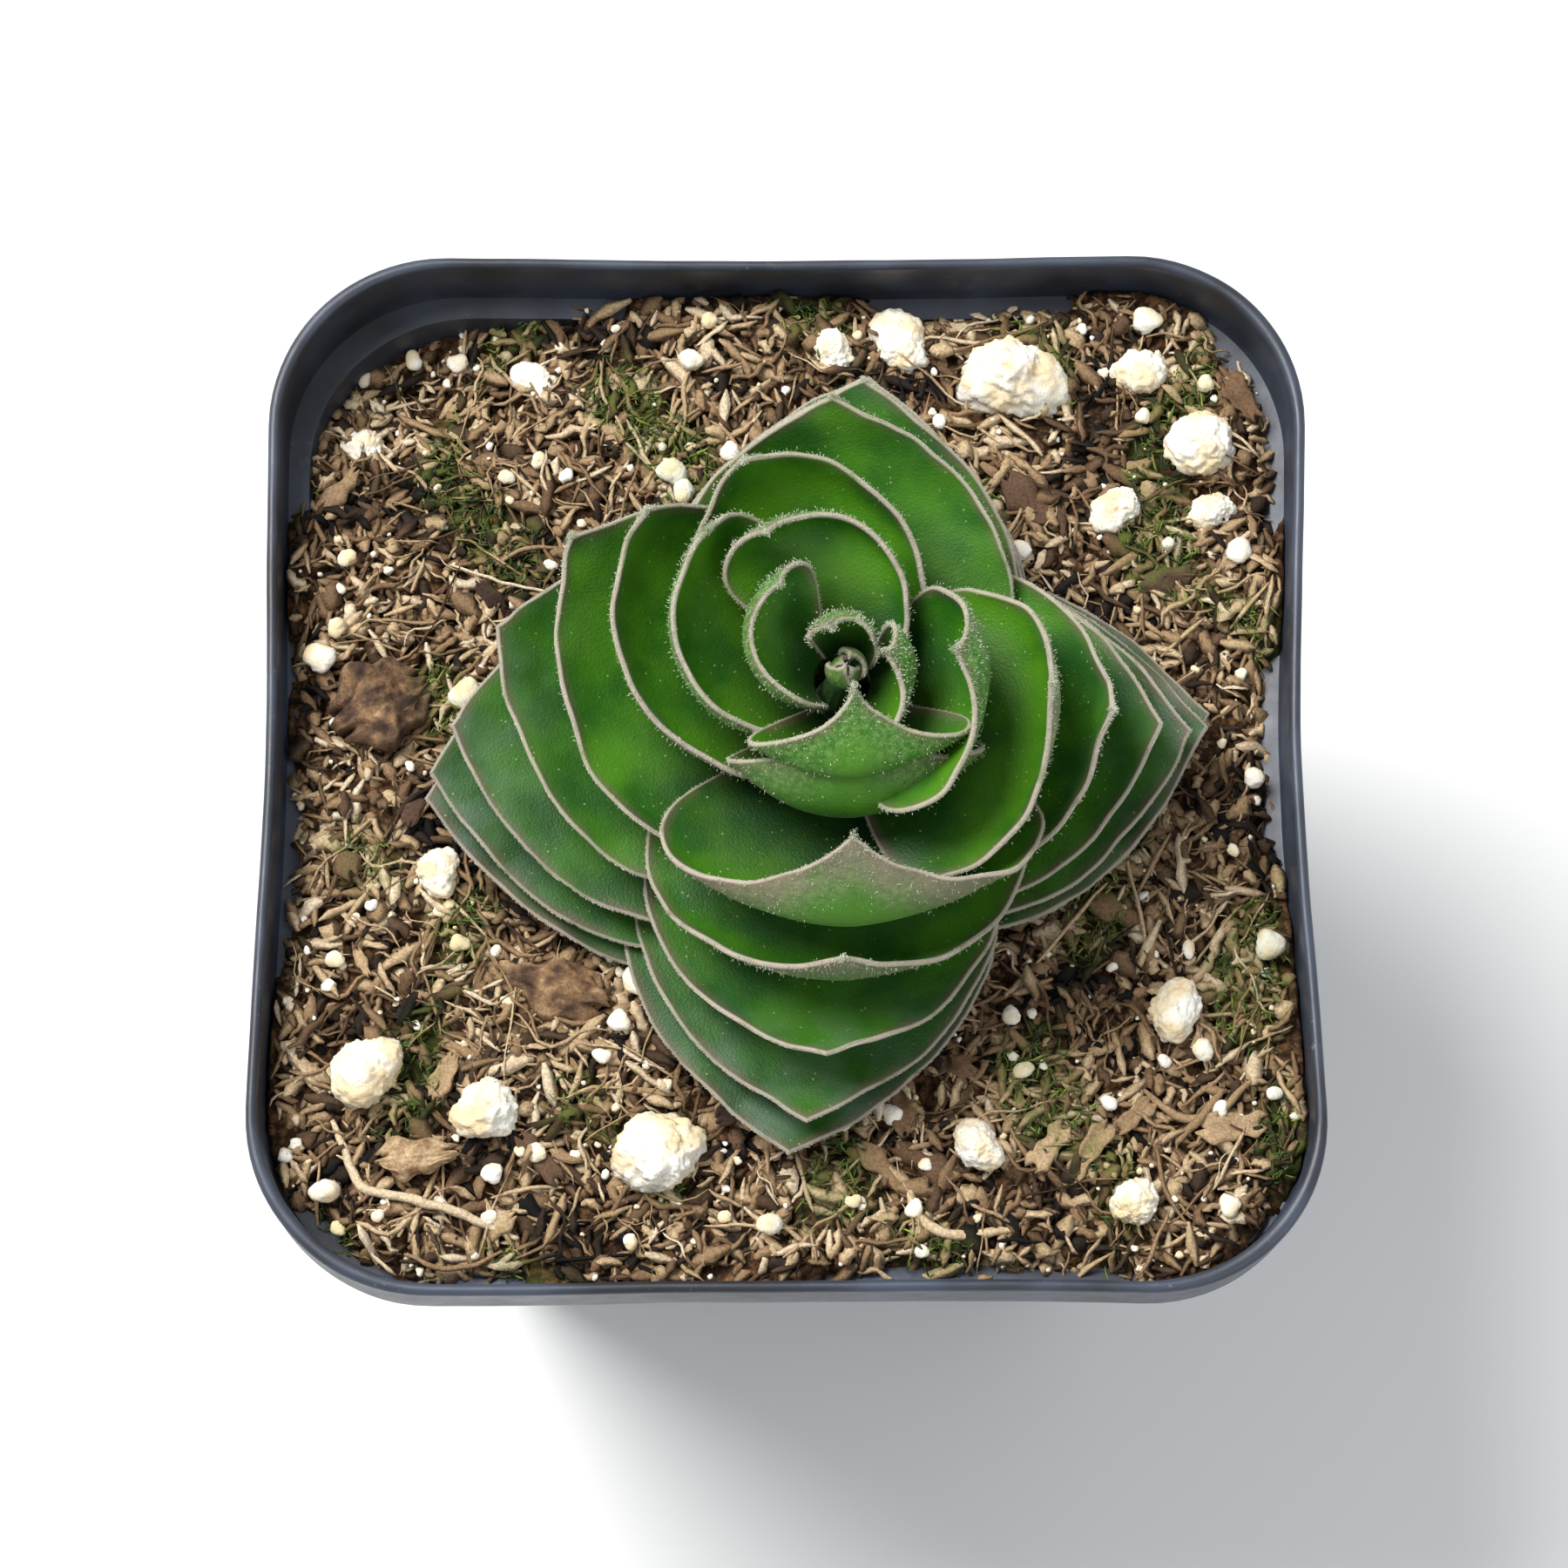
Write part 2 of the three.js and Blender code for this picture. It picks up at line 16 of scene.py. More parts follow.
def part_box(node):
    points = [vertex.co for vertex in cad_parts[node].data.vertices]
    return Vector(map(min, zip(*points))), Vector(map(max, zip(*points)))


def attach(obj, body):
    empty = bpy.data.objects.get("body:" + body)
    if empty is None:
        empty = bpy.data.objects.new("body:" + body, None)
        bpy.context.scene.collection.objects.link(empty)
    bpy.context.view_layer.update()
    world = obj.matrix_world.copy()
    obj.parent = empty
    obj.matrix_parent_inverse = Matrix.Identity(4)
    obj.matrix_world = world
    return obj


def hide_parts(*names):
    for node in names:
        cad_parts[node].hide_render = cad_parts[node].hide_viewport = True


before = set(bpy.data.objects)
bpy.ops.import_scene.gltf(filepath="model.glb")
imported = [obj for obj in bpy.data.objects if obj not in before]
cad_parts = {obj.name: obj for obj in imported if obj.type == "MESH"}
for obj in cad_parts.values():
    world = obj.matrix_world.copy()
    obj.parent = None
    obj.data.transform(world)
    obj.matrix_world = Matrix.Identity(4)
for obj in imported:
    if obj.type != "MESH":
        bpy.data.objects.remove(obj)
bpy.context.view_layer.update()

MM = 0.001
TAU = 2 * math.pi
BODY = "root"


def node_box(node):
    """A CAD node's lowest and highest corners, in mm."""
    low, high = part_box(node)
    return np.array(low) / MM, np.array(high) / MM


POT_HEIGHT = node_box("pot")[1][2]
rng = np.random.default_rng(7)


# ---------------------------------------------------------------- camera, light and floor

def make_camera():
    tilt = math.radians(15)
    distance = 222
    aim = np.array([-0.18, -1.37, POT_HEIGHT])
    place = aim + distance * np.array([0, -math.sin(tilt), math.cos(tilt)])
    data = bpy.data.cameras.new("camera")
    data.lens = 100.6
    data.sensor_width = 36
    data.clip_start = 0.005
    data.clip_end = 20
    camera = bpy.data.objects.new("camera", data)
    camera.location = place * MM
    camera.rotation_euler = (tilt, 0, 0)
    bpy.context.scene.collection.objects.link(camera)
    bpy.context.scene.camera = camera


def area_light(name, place, aim, size, energy, color):
    data = bpy.data.lights.new(name, "AREA")
    data.shape = "DISK"
    data.size = size
    data.energy = energy
    data.color = color
    light = bpy.data.objects.new(name, data)
    light.location = place
    light.rotation_euler = (Vector(aim) - Vector(place)).to_track_quat("-Z", "Y").to_euler()
    bpy.context.scene.collection.objects.link(light)


def make_lights():
    world = bpy.data.worlds.new("studio")
    world.use_nodes = True
    background = world.node_tree.nodes["Background"]
    background.inputs["Color"].default_value = (0.93, 0.96, 1.0, 1)
    background.inputs["Strength"].default_value = 0.55
    bpy.context.scene.world = world
    area_light("key", (-0.28, 0.22, 0.55), (0, 0, 0.05), 0.36, 5.6, (1.0, 0.985, 0.96))
    area_light("fill", (0.45, -0.35, 0.5), (0, 0, 0.05), 0.5, 1.1, (0.95, 0.97, 1.0))
    view = bpy.context.scene.view_settings
    view.view_transform = "Standard"
    view.look = "None"


def make_floor():
    half = 3.0
    mesh = bpy.data.meshes.new("floor")
    corners = [(-half, -half, 0), (half, -half, 0), (half, half, 0), (-half, half, 0)]
    mesh.from_pydata(corners, [], [(0, 1, 2, 3)])
    floor = bpy.data.objects.new("floor", mesh)
    bpy.context.scene.collection.objects.link(floor)
    paint = Paint("floor_paint")
    paint.set("Base Color", (0.86, 0.86, 0.85))
    paint.set("Roughness", 0.9)
    mesh.materials.append(paint.material)


# ---------------------------------------------------------------- materials

class Paint:
    """A principled material and short calls for the nodes that feed it. Positions are in mm."""

    def __init__(self, name):
        self.material = bpy.data.materials.new(name)
        self.material.use_nodes = True
        self.tree = self.material.node_tree
        self.shader = self.tree.nodes["Principled BSDF"]
        self.place = None

    def set(self, socket, value):
        self.feed(self.shader.inputs[socket], value)

    def node(self, kind, inputs=(), **settings):
        made = self.tree.nodes.new(kind)
        for key, value in settings.items():
            setattr(made, key, value)
        for key, value in dict(inputs).items():
            self.feed(made.inputs[key], value)
        return made

    def feed(self, target, value):
        if isinstance(value, bpy.types.NodeSocket):
            self.tree.links.new(value, target)
        elif isinstance(value, tuple) and len(value) == 3 and target.type == "RGBA":
            target.default_value = (*value, 1)
        else:
            target.default_value = value

    def position(self, stretch=(1, 1, 1)):
        """The point's place in mm, stretched along the axes."""
        if self.place is None:
            self.place = self.node("ShaderNodeTexCoord").outputs["Object"]
        scale = tuple(s / MM for s in stretch)
        return self.node("ShaderNodeMapping", {"Vector": self.place, "Scale": scale}).outputs["Vector"]

    def attribute(self, name):
        return self.node("ShaderNodeAttribute", attribute_name=name).outputs["Fac"]

    def noise(self, size, detail=2.0, roughness=0.5, stretch=(1, 1, 1)):
        """Smooth noise from 0 to 1, with lumps of about that size in mm."""
        made = self.node("ShaderNodeTexNoise", {
            "Vector": self.position(stretch), "Scale": 1 / size, "Detail": detail, "Roughness": roughness})
        return made.outputs["Fac"]

    def cells(self, size):
        """The distance to the nearest of points scattered about that far apart in mm."""
        made = self.node("ShaderNodeTexVoronoi", {"Vector": self.position(), "Scale": 1 / size})
        return made.outputs["Distance"]

    def step(self, value, low, high):
        """0 below low, 1 above high, and smooth between; low may be the larger."""
        inputs = {"Value": value, "From Min": low, "From Max": high}
        return self.node("ShaderNodeMapRange", inputs, interpolation_type="SMOOTHSTEP").outputs["Result"]

    def math(self, operation, a, b):
        made = self.node("ShaderNodeMath", operation=operation)
        self.feed(made.inputs[0], a)
        self.feed(made.inputs[1], b)
        return made.outputs[0]

    def product(self, first, *others):
        for other in others:
            first = self.math("MULTIPLY", first, other)
        return first

    def mix(self, share, a, b, blend="MIX"):
        made = self.node("ShaderNodeMix", data_type="RGBA", blend_type=blend)
        self.feed(made.inputs[0], share)
        self.feed(made.inputs[6], a)
        self.feed(made.inputs[7], b)
        return made.outputs[2]

    def ramp(self, value, *stops):
        made = self.node("ShaderNodeValToRGB", {"Fac": value})
        elements = made.color_ramp.elements
        while len(elements) < len(stops):
            elements.new(0.5)
        for element, (place, color) in zip(elements, stops):
            element.position = place
            element.color = (*color, 1)
        return made.outputs["Color"]

    def bump(self, height, depth, under=None):
        """A bump of that depth in mm."""
        inputs = {"Height": height, "Strength": 1.0, "Distance": depth * MM}
        if under is not None:
            inputs["Normal"] = under
        return self.node("ShaderNodeBump", inputs).outputs["Normal"]


def srgb(red, green, blue):
    """A colour as a screen shows it, 0 to 255, as linear light."""
    shown = [channel / 255 for channel in (red, green, blue)]
    return tuple(c / 12.92 if c <= 0.04045 else ((c + 0.055) / 1.055) ** 2.4 for c in shown)


def leaf_paint():
    """Velvety green skin: deep green below, bright in the heart, pale along the margin, mauve beside it."""
    p = Paint("leaf_skin")
    rim, back, along, age = (p.attribute(name) for name in ("rim", "back", "along", "age"))
    blotch = p.noise(4.0, 3)
    grain = p.noise(0.3, 4, 0.7)
    outer = p.mix(p.step(blotch, 0.3, 0.7), srgb(16, 54, 14), srgb(32, 80, 18))
    heart = p.mix(p.step(blotch, 0.3, 0.7), srgb(34, 98, 8), srgb(84, 144, 16))
    face = p.mix(age, outer, heart)
    velvet = p.mix(p.step(grain, 0.35, 0.7), srgb(46, 102, 22), srgb(104, 142, 70))
    under = p.mix(p.step(rim, 3.2, 0.4), p.mix(0.45, face, srgb(70, 120, 30)), velvet)
    skin = p.mix(back, face, under)
    # painted shade: deep in the rosette, towards the base of each leaf, the skin is darkened where the
    # leaves above shade it
    skin = p.mix(p.product(p.step(along, 0.7, 0.05), 0.8), skin, srgb(7, 30, 6))
    # painted sheen: a silvery grazing reflection of the sky near the tip of each leaf, strongest on the old
    # ones
    painted_tip_sheen = p.product(p.step(along, 0.62, 1.0), p.step(age, 0.75, 0.1), p.step(p.noise(2.2, 2), 0.25, 0.75))
    skin = p.mix(p.product(painted_tip_sheen, 0.42), skin, srgb(112, 132, 116))
    # the mauve tint beside the margin
    reach = p.product(p.step(rim, 0.7, 0.1), p.step(p.noise(2.6, 3), 0.25, 0.6))
    skin = p.mix(p.product(reach, 0.45), skin, srgb(112, 84, 78))
    uneven = p.step(p.noise(3.2, 3), 0.2, 0.6)
    band = p.product(p.step(rim, 2.6, 0.5), back, uneven, p.step(age, 0.8, 0.62))
    skin = p.mix(p.product(band, 0.62), skin, srgb(134, 114, 106))
    # pale papillae: dots on the faces, and the margin itself
    dots = p.product(p.step(p.cells(0.42), 0.16, 0.07), p.step(p.noise(0.9, 2), 0.45, 0.62))
    skin = p.mix(p.product(dots, 0.5), skin, srgb(176, 200, 130))
    edge = p.product(p.step(rim, 0.17, 0.03), p.step(p.noise(0.9, 3), 0.05, 0.5))
    skin = p.mix(p.product(edge, 0.7), skin, srgb(184, 168, 158))
    p.set("Base Color", skin)
    p.set("Roughness", 0.5)
    p.set("Specular IOR Level", 0.28)
    p.set("Sheen Weight", 0.08)
    p.set("Sheen Roughness", 0.35)
    p.set("Sheen Tint", (0.86, 0.95, 0.86))
    p.set("Subsurface Weight", 0.12)
    p.set("Subsurface Radius", (0.6, 1.0, 0.25))
    p.set("Subsurface Scale", 0.7 * MM)
    fine = p.bump(p.cells(0.13), 0.018)
    p.set("Normal", p.bump(p.noise(1.6, 3), 0.05, fine))
    return p.material


def fuzz_paint():
    p = Paint("fuzz")
    p.set("Base Color", p.mix(p.step(p.noise(1.5, 2), 0.35, 0.65), srgb(146, 158, 122), srgb(200, 202, 182)))
    p.set("Roughness", 0.6)
    return p.material


def stem_paint():
    p = Paint("stem_skin")
    streak = p.noise(0.8, 4, 0.6, stretch=(1, 1, 0.25))
    p.set("Base Color", p.mix(p.step(streak, 0.3, 0.7), srgb(18, 50, 12), srgb(40, 78, 22)))
    p.set("Roughness", 0.75)
    p.set("Normal", p.bump(streak, 0.12))
    return p.material


def pot_paint():
    """Thin black plastic, satin, with dust along the rim and faint moulding streaks."""
    p = Paint("pot_plastic")
    dust = p.product(p.step(p.noise(0.5, 4, 0.7), 0.60, 0.74), p.step(p.noise(5.0, 2), 0.45, 0.7))
    # the plastic's own dark charcoal with a faint blue tint, lifted towards slate blue as a painted
    # reflection of the sky along the rim
    base = p.mix(p.step(p.noise(7.0, 3), 0.3, 0.7), srgb(30, 33, 41), srgb(62, 70, 86))
    p.set("Base Color", p.mix(p.product(dust, 0.6), base, srgb(150, 142, 130)))
    rough = p.math("ADD", 0.34, p.product(p.noise(1.2, 3), 0.22))
    p.set("Roughness", p.math("ADD", rough, p.product(dust, 0.3)))
    p.set("Specular IOR Level", 0.55)
    fine = p.bump(p.noise(0.18, 2), 0.006)
    p.set("Normal", p.bump(p.noise(4.0, 2, stretch=(1, 1, 0.2)), 0.12, fine))
    return p.material


def bed_paint():
    """The dark crumbly ground that shows between the fibres."""
    p = Paint("potting_mix")
    tone = p.noise(0.55, 5, 0.65)
    ground = p.ramp(tone, (0.25, srgb(18, 12, 8)), (0.45, srgb(52, 36, 24)), (0.6, srgb(104, 76, 50)),
                    (0.78, srgb(160, 124, 86)))
    algae = p.product(p.attribute("moss"), p.step(p.noise(0.7, 3), 0.3, 0.6))
    p.set("Base Color", p.mix(p.product(algae, 0.75), ground, srgb(52, 66, 22)))
    p.set("Roughness", 0.95)
    p.set("Specular IOR Level", 0.15)
    p.set("Normal", p.bump(p.noise(0.25, 4, 0.7), 0.12))
    return p.material


def fibre_paint(name, stops, green):
    """Coir, bark and roots: each strand has its own tone, streaks, and algae where it is damp."""
    p = Paint(name)
    tone = p.attribute("tone")
    color = p.ramp(tone, *stops)
    streak = p.noise(0.16, 3, 0.6)
    color = p.mix(p.step(streak, 0.25, 0.75), p.mix(1.0, color, (0.55, 0.5, 0.46), "MULTIPLY"), color)
    algae = p.product(p.attribute("moss"), p.step(p.noise(0.8, 2), 0.35, 0.6))
    p.set("Base Color", p.mix(p.product(algae, green), color, srgb(92, 104, 38)))
    p.set("Roughness", 0.85)
    p.set("Specular IOR Level", 0.25)
    p.set("Normal", p.bump(streak, 0.05))
    return p.material


def perlite_paint():
    """White to cream foam glass with pits, stained by the mix and by algae in places."""
    p = Paint("perlite_foam")
    stain = p.noise(1.6, 3)
    color = p.mix(p.step(stain, 0.35, 0.68), srgb(244, 241, 230), srgb(232, 210, 168))
    pits = p.step(p.cells(0.34), 0.05, 0.22)
    color = p.mix(pits, srgb(196, 184, 160), color)
    specks = p.step(p.noise(0.22, 2), 0.70, 0.76)
    color = p.mix(p.product(specks, 0.5), color, srgb(120, 104, 84))
    p.set("Base Color", p.mix(p.product(p.attribute("moss"), 0.4), color, srgb(150, 168, 96)))
    p.set("Roughness", 0.85)
    p.set("Subsurface Weight", 0.1)
    p.set("Subsurface Radius", (1.0, 0.9, 0.7))
    p.set("Subsurface Scale", 0.4 * MM)
    p.set("Normal", p.bump(p.noise(0.3, 4, 0.65), 0.09))
    return p.material


def moss_paint():
    p = Paint("moss")
    p.set("Base Color", p.ramp(p.attribute("tone"), (0.0, srgb(38, 54, 14)), (0.5, srgb(74, 96, 26)),
                               (1.0, srgb(150, 164, 70))))
    p.set("Roughness", 0.7)
    return p.material


# ---------------------------------------------------------------- meshes

def add_piece(name, points, faces, paint, slot, replaced=(), smooth=True, attributes=None):
    """Makes a piece from points in mm and ties it to the frame."""
    mesh = bpy.data.meshes.new(name)
    points = np.asarray(points, np.float32).reshape(-1, 3) * MM
    mixed = isinstance(faces, list)
    sizes = np.array([len(f) for f in faces]) if mixed else np.full(len(faces), faces.shape[1])
    corners = np.concatenate(faces) if mixed else faces.ravel()
    mesh.vertices.add(len(points))
    mesh.vertices.foreach_set("co", points.ravel())
    mesh.loops.add(len(corners))
    mesh.loops.foreach_set("vertex_index", corners.astype(np.int32))
    mesh.polygons.add(len(sizes))
    starts = np.concatenate([[0], np.cumsum(sizes)[:-1]]).astype(np.int32)
    mesh.polygons.foreach_set("loop_start", starts)
    mesh.polygons.foreach_set("use_smooth", np.full(len(sizes), smooth))
    mesh.update(calc_edges=True)
    for key, values in (attributes or {}).items():
        layer = mesh.attributes.new(key, "FLOAT", "POINT")
        layer.data.foreach_set("value", np.asarray(values, np.float32).ravel())
    mesh.materials.append(paint)
    piece = bpy.data.objects.new(name, mesh)
    bpy.context.scene.collection.objects.link(piece)
    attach(piece, BODY)
    if replaced:
        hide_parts(*replaced)
    return piece


def smoothstep(values, low, high):
    t = np.clip((np.asarray(values, float) - low) / (high - low), 0, 1)
    return t * t * (3 - 2 * t)


def waves(points, size, seed=0.0, octaves=3):
    """Smooth noise, about -1 to 1, at points in mm, with lumps of about that size."""
    flat = np.asarray(points, float).reshape(-1, 3) / size + seed
    values = [noise.fractal(Vector(q), 0.8, 2.0, octaves) for q in flat]
    return np.array(values).reshape(np.asarray(points).shape[:-1])


def unit(vectors):
    """The vectors at a length of one."""
    return vectors / np.maximum(np.linalg.norm(vectors, axis=-1, keepdims=True), 1e-9)


def spun(points, angle):
    """Points turned about the vertical through the origin."""
    c, s = math.cos(angle), math.sin(angle)
    return points @ np.array([[c, -s, 0], [s, c, 0], [0, 0, 1]]).T


def strip(low, high, count):
    """Quads between two closed rings of points, by the number of each ring's first point."""
    i = np.arange(count)
    j = (i + 1) % count
    return np.stack([low + i, low + j, high + j, high + i], -1)


def grid_quads(rows, columns):
    i = np.arange((rows - 1) * (columns - 1))
    a = i // (columns - 1) * columns + i % (columns - 1)
    return np.stack([a, a + columns, a + columns + 1, a + 1], -1)


def closed_skin(rings):
    """A skin over rings of points, closed at both ends by a fan: its points and faces."""
    rows, count = rings.shape[:2]
    ring = np.arange(count)
    hub, last = rows * count, (rows - 1) * count
    walls = [strip(row * count, (row + 1) * count, count) for row in range(rows - 1)]
    bottom = np.stack([np.full(count, hub), (ring + 1) % count, ring], -1)
    top = np.stack([np.full(count, hub + 1), last + ring, last + (ring + 1) % count], -1)
    points = np.concatenate([rings.reshape(-1, 3), [rings[0].mean(0)], [rings[-1].mean(0)]])
    return points, [*np.concatenate(walls), *bottom, *top]


def joined(skins):
    """Several skins as one: their points and faces."""
    starts = np.cumsum([0] + [len(points) for points, _ in skins])
    faces = [face + start for (_, faces), start in zip(skins, starts) for face in faces]
    return np.concatenate([points for points, _ in skins]), faces


def spread_over(skins, values):
    """Each skin's value for each of its points."""
    return np.repeat(values, [len(points) for points, _ in skins])


# ---------------------------------------------------------------- pot

RIM_HALF = 27.1
BASE_HALF = 19.5
STRETCH = 1.012
WALL = 0.6
LIP_HEIGHT = 4.4
LIP_BOTTOM = POT_HEIGHT - LIP_HEIGHT
LIP_STEP = 0.7
FLOOR = 1.2
CORNER_RADIUS = 9.2
CORNER_CROWD = 0.15
WAISTS = {"east": 0.9, "north": 0.3, "west": 0.45, "south": 0.15}
DRAIN_RADIUS = 3
DRAIN_OFFSET = 11


def outline(half, angle):
    """How far the pot's outline is from its middle, towards each angle."""
    size = half / RIM_HALF
    radius = CORNER_RADIUS * size
    straight = half - radius
    x, y = np.cos(angle), np.sin(angle)
    long, short = np.maximum(abs(x), abs(y)), np.minimum(abs(x), abs(y))
    flat = (straight + radius) / long
    along = straight * (long + short)
    bend = along + np.sqrt(np.maximum(along**2 - 2 * straight**2 + radius**2, 0))
    reach = np.where(short * flat <= straight, flat, bend)
    side = np.where(abs(x) > abs(y), np.where(x > 0, WAISTS["east"], WAISTS["west"]),
                    np.where(y > 0, WAISTS["north"], WAISTS["south"]))
    return reach - side * size * np.cos(2 * angle) ** 2


def pot_ring(half, z, angles):
    """One level of the pot's outline, as points."""
    reach = outline(half, angles)
    return np.stack([reach * np.cos(angles), reach * np.sin(angles) * STRETCH, np.full_like(angles, z)], -1)


def wall_half(z):
    under = RIM_HALF - LIP_STEP
    return BASE_HALF + (under - BASE_HALF) * (z / POT_HEIGHT)


def crowded_angles(count):
    """Angles round the pot, closer together at its corners."""
    share = (np.arange(count) + 0.5) / count * TAU
    return share + CORNER_CROWD * np.sin(4 * share)


def make_pot(paint):
    """A thin wall: its profile runs up the outside, over the rim, down the inside and over the floor."""
    angles = crowded_angles(224)
    lip = LIP_BOTTOM
    outside = [(BASE_HALF - 1.2, 0.0), (BASE_HALF - 0.7, 0.1), (BASE_HALF - 0.25, 0.4)]
    outside += [(wall_half(0.9), 0.9)]
    outside += [(wall_half(z), z) for z in np.linspace(2.5, lip - 1.0, 30)]
    outside += [(wall_half(lip) + 0.03, lip - 0.62), (wall_half(lip) + 0.22, lip - 0.4),
                (RIM_HALF - 0.3, lip - 0.18), (RIM_HALF - 0.12, lip + 0.05), (RIM_HALF - 0.05, lip + 0.35)]
    outside += [(RIM_HALF - 0.04, z) for z in np.linspace(lip + 0.9, POT_HEIGHT - 0.6, 7)]
    bead = WALL / 2
    rim = [(RIM_HALF - bead + bead * math.cos(a), POT_HEIGHT - bead + bead * math.sin(a))
           for a in np.linspace(0, math.pi, 9)]
    inner = RIM_HALF - WALL
    inside = [(inner, z) for z in np.linspace(POT_HEIGHT - 0.7, lip + 0.7, 6)]
    inside += [(inner - 0.12, lip + 0.35), (wall_half(lip) - WALL + 0.1, lip + 0.1)]
    inside += [(wall_half(z) - WALL, z) for z in np.linspace(lip - 0.5, FLOOR + 1.0, 16)]
    inside += [(BASE_HALF - WALL - 0.2, FLOOR + 0.3), (BASE_HALF - WALL - 0.9, FLOOR)]
    shape = np.array([pot_ring(half, z, angles) for half, z in outside + rim + inside])
    # thin blown plastic: the walls bow and the rim waves a little
    sway = 0.14 * waves(shape, 24.0, 3.1, 2) + 0.05 * waves(shape, 7.0, 8.2, 2)
    shape += unit(shape * (1, 1, 0)) * (sway * smoothstep(shape[..., 2], 1.0, 12.0) - 0.12)[..., None]
    pot = add_piece("nursery_pot", *closed_skin(shape), paint, "pot_plastic", ["pot"])
    cut_holes(pot)
    pot.data.set_sharp_from_angle(angle=math.radians(50))


def cut_holes(pot):
    """The drain holes in the pot's base."""
    for x, y in [(-1, -1), (1, -1), (1, 1), (-1, 1), (0, 0)]:
        bpy.ops.mesh.primitive_cylinder_add(vertices=48, radius=DRAIN_RADIUS * MM, depth=6 * FLOOR * MM,
                                            location=(x * DRAIN_OFFSET * MM, y * DRAIN_OFFSET * MM, 0))
        cutter = bpy.context.object
        cut = pot.modifiers.new("hole", "BOOLEAN")
        cut.operation = "DIFFERENCE"
        cut.object = cutter
        bake_modifiers(pot)
        bpy.data.objects.remove(cutter)


def bake_modifiers(piece):
    graph = bpy.context.evaluated_depsgraph_get()
    mesh = bpy.data.meshes.new_from_object(piece.evaluated_get(graph))
    piece.modifiers.clear()
    piece.data = mesh


# ---------------------------------------------------------------- leaves

AXIS = {"x": 1.6, "y": -0.3, "lean_x": 0.069, "lean_y": 0.06, "from": 48.3}
STEM_RADIUS = 1.9
STEM_TOP = {"z": 65, "radius": 0.6, "taper": 57}
FIRST_LEVEL = 49.4
LEVEL_STEP = 1
ROOT_GAP = 0.6
PLAIN_CLASP = 78
PLAIN_BELLY = 0.42
RIM_RADIUS = 0.15
FULL_INSIDE = 5.0
BASE_HALF_THICKNESS = 0.28
BELLY_HALF_THICKNESS = 0.25
HAIRS_PER_MM = 14
BACK_HAIRS = 1000
HAIR_THICKNESS = (0.014, 0.028)
HAIR_LENGTH = (0.05, 0.14)
FLANK_FADE = 1.15
TURN_POWER = 1.5
PINCH_ANGLE = 60
TIP_CROWD = 1.6
BUD_LEVEL = 11
DEEPEST_PUSH = 1.2

# How the rosette grows, with the driving values of the CAD. root is the direction of a rank's lowest base
# and drift turns each level on from it; vigour scales its reach; at the level closing it has folded in over
# the heart; its tips swing by turn degrees between the levels of turning; clasp, pinch and flare shape the
# flanks of its folded leaves, clockwise first, and belly is how full their midrib's curve is.
RANKS = {
    "west": {"leaves": 8, "first_level": 0, "root": 185, "drift": -1.5, "vigour": 1, "closing": 15,
             "turn": -30, "turning": (3, 10), "clasp": (50, 80), "pinch": (0, 0.6), "flare": (0, 0),
             "belly": 0.42},
    "east": {"leaves": 8, "first_level": 0, "root": 8, "drift": -1.5, "vigour": 0.98, "closing": 13,
             "turn": 15, "turning": (9, 13), "clasp": (70, 60), "pinch": (0, 0.3), "flare": (2, 0),
             "belly": 0.6},
    "north": {"leaves": 8, "first_level": 1, "root": 82, "drift": 0.5, "vigour": 1.03, "closing": 15,
              "turn": 35, "turning": (8, 12), "clasp": (75, 50), "pinch": (0.65, 0), "flare": (0, 0),
              "belly": 0.45},
    "south": {"leaves": 7, "first_level": 1, "root": 264, "drift": 1, "vigour": 1, "closing": 10.7,
              "turn": 0, "turning": (7, 12), "clasp": (65, 65), "pinch": (0, 0), "flare": (1, 3),
              "belly": 0.95},
}
TIP_REACH = {"full": 20.4, "bud": 1.6, "power": 0.8}
TIP_HEIGHT = {"lowest": 51, "crown": 67.8, "crown_level": 13}
TIP_SLOPE = {"lowest": 8, "upright": 95, "most": 150, "lead": 4}
BASE_SLOPE = {"bud": 40, "level": 14, "power": 4}
BLUNTNESS = {"lowest": 2, "closed": 4, "power": 3}
FOLDING = {"share": 0.62, "levels": 1}


def between(low, high, share):
    return low + (high - low) * share


def growth(rank, level):
    """A leaf's facts at a level of its rank, as in the CAD."""
    age = min(level / rank["closing"], 1)
    climb = min(level / TIP_HEIGHT["crown_level"], 1)
    fold_start = FOLDING["share"] * rank["closing"]
    folded = float(smoothstep(level, fold_start, fold_start + FOLDING["levels"]))
    fall = max(math.cos(math.pi / 2 * age), 0) ** TIP_REACH["power"]
    reach = between(TIP_REACH["bud"], TIP_REACH["full"] * rank["vigour"], fall)
    root = rank["root"] + rank["drift"] * level
    upright = (level / (rank["closing"] - TIP_SLOPE["lead"])) ** 2
    return {
        "root": root,
        "point": root + rank["turn"] * float(smoothstep(level, *rank["turning"])),
        "reach": reach,
        "top": between(TIP_HEIGHT["lowest"], TIP_HEIGHT["crown"], math.sin(math.pi / 2 * climb) ** 2),
        "rise": BASE_SLOPE["bud"] * (level / BASE_SLOPE["level"]) ** BASE_SLOPE["power"],
        "hook": min(between(TIP_SLOPE["lowest"], TIP_SLOPE["upright"], upright), TIP_SLOPE["most"]),
        "blunt": between(BLUNTNESS["lowest"], BLUNTNESS["closed"], age ** BLUNTNESS["power"]),
        "clasp": [between(PLAIN_CLASP, clasp, folded) for clasp in rank["clasp"]],
        "pinch": [folded * (pinch * reach - flare) for pinch, flare in zip(rank["pinch"], rank["flare"])],
        "belly": between(PLAIN_BELLY, rank["belly"], folded),
    }


def axis_at(z):
    climb = z - AXIS["from"]
    return AXIS["x"] + AXIS["lean_x"] * climb, AXIS["y"] + AXIS["lean_y"] * climb


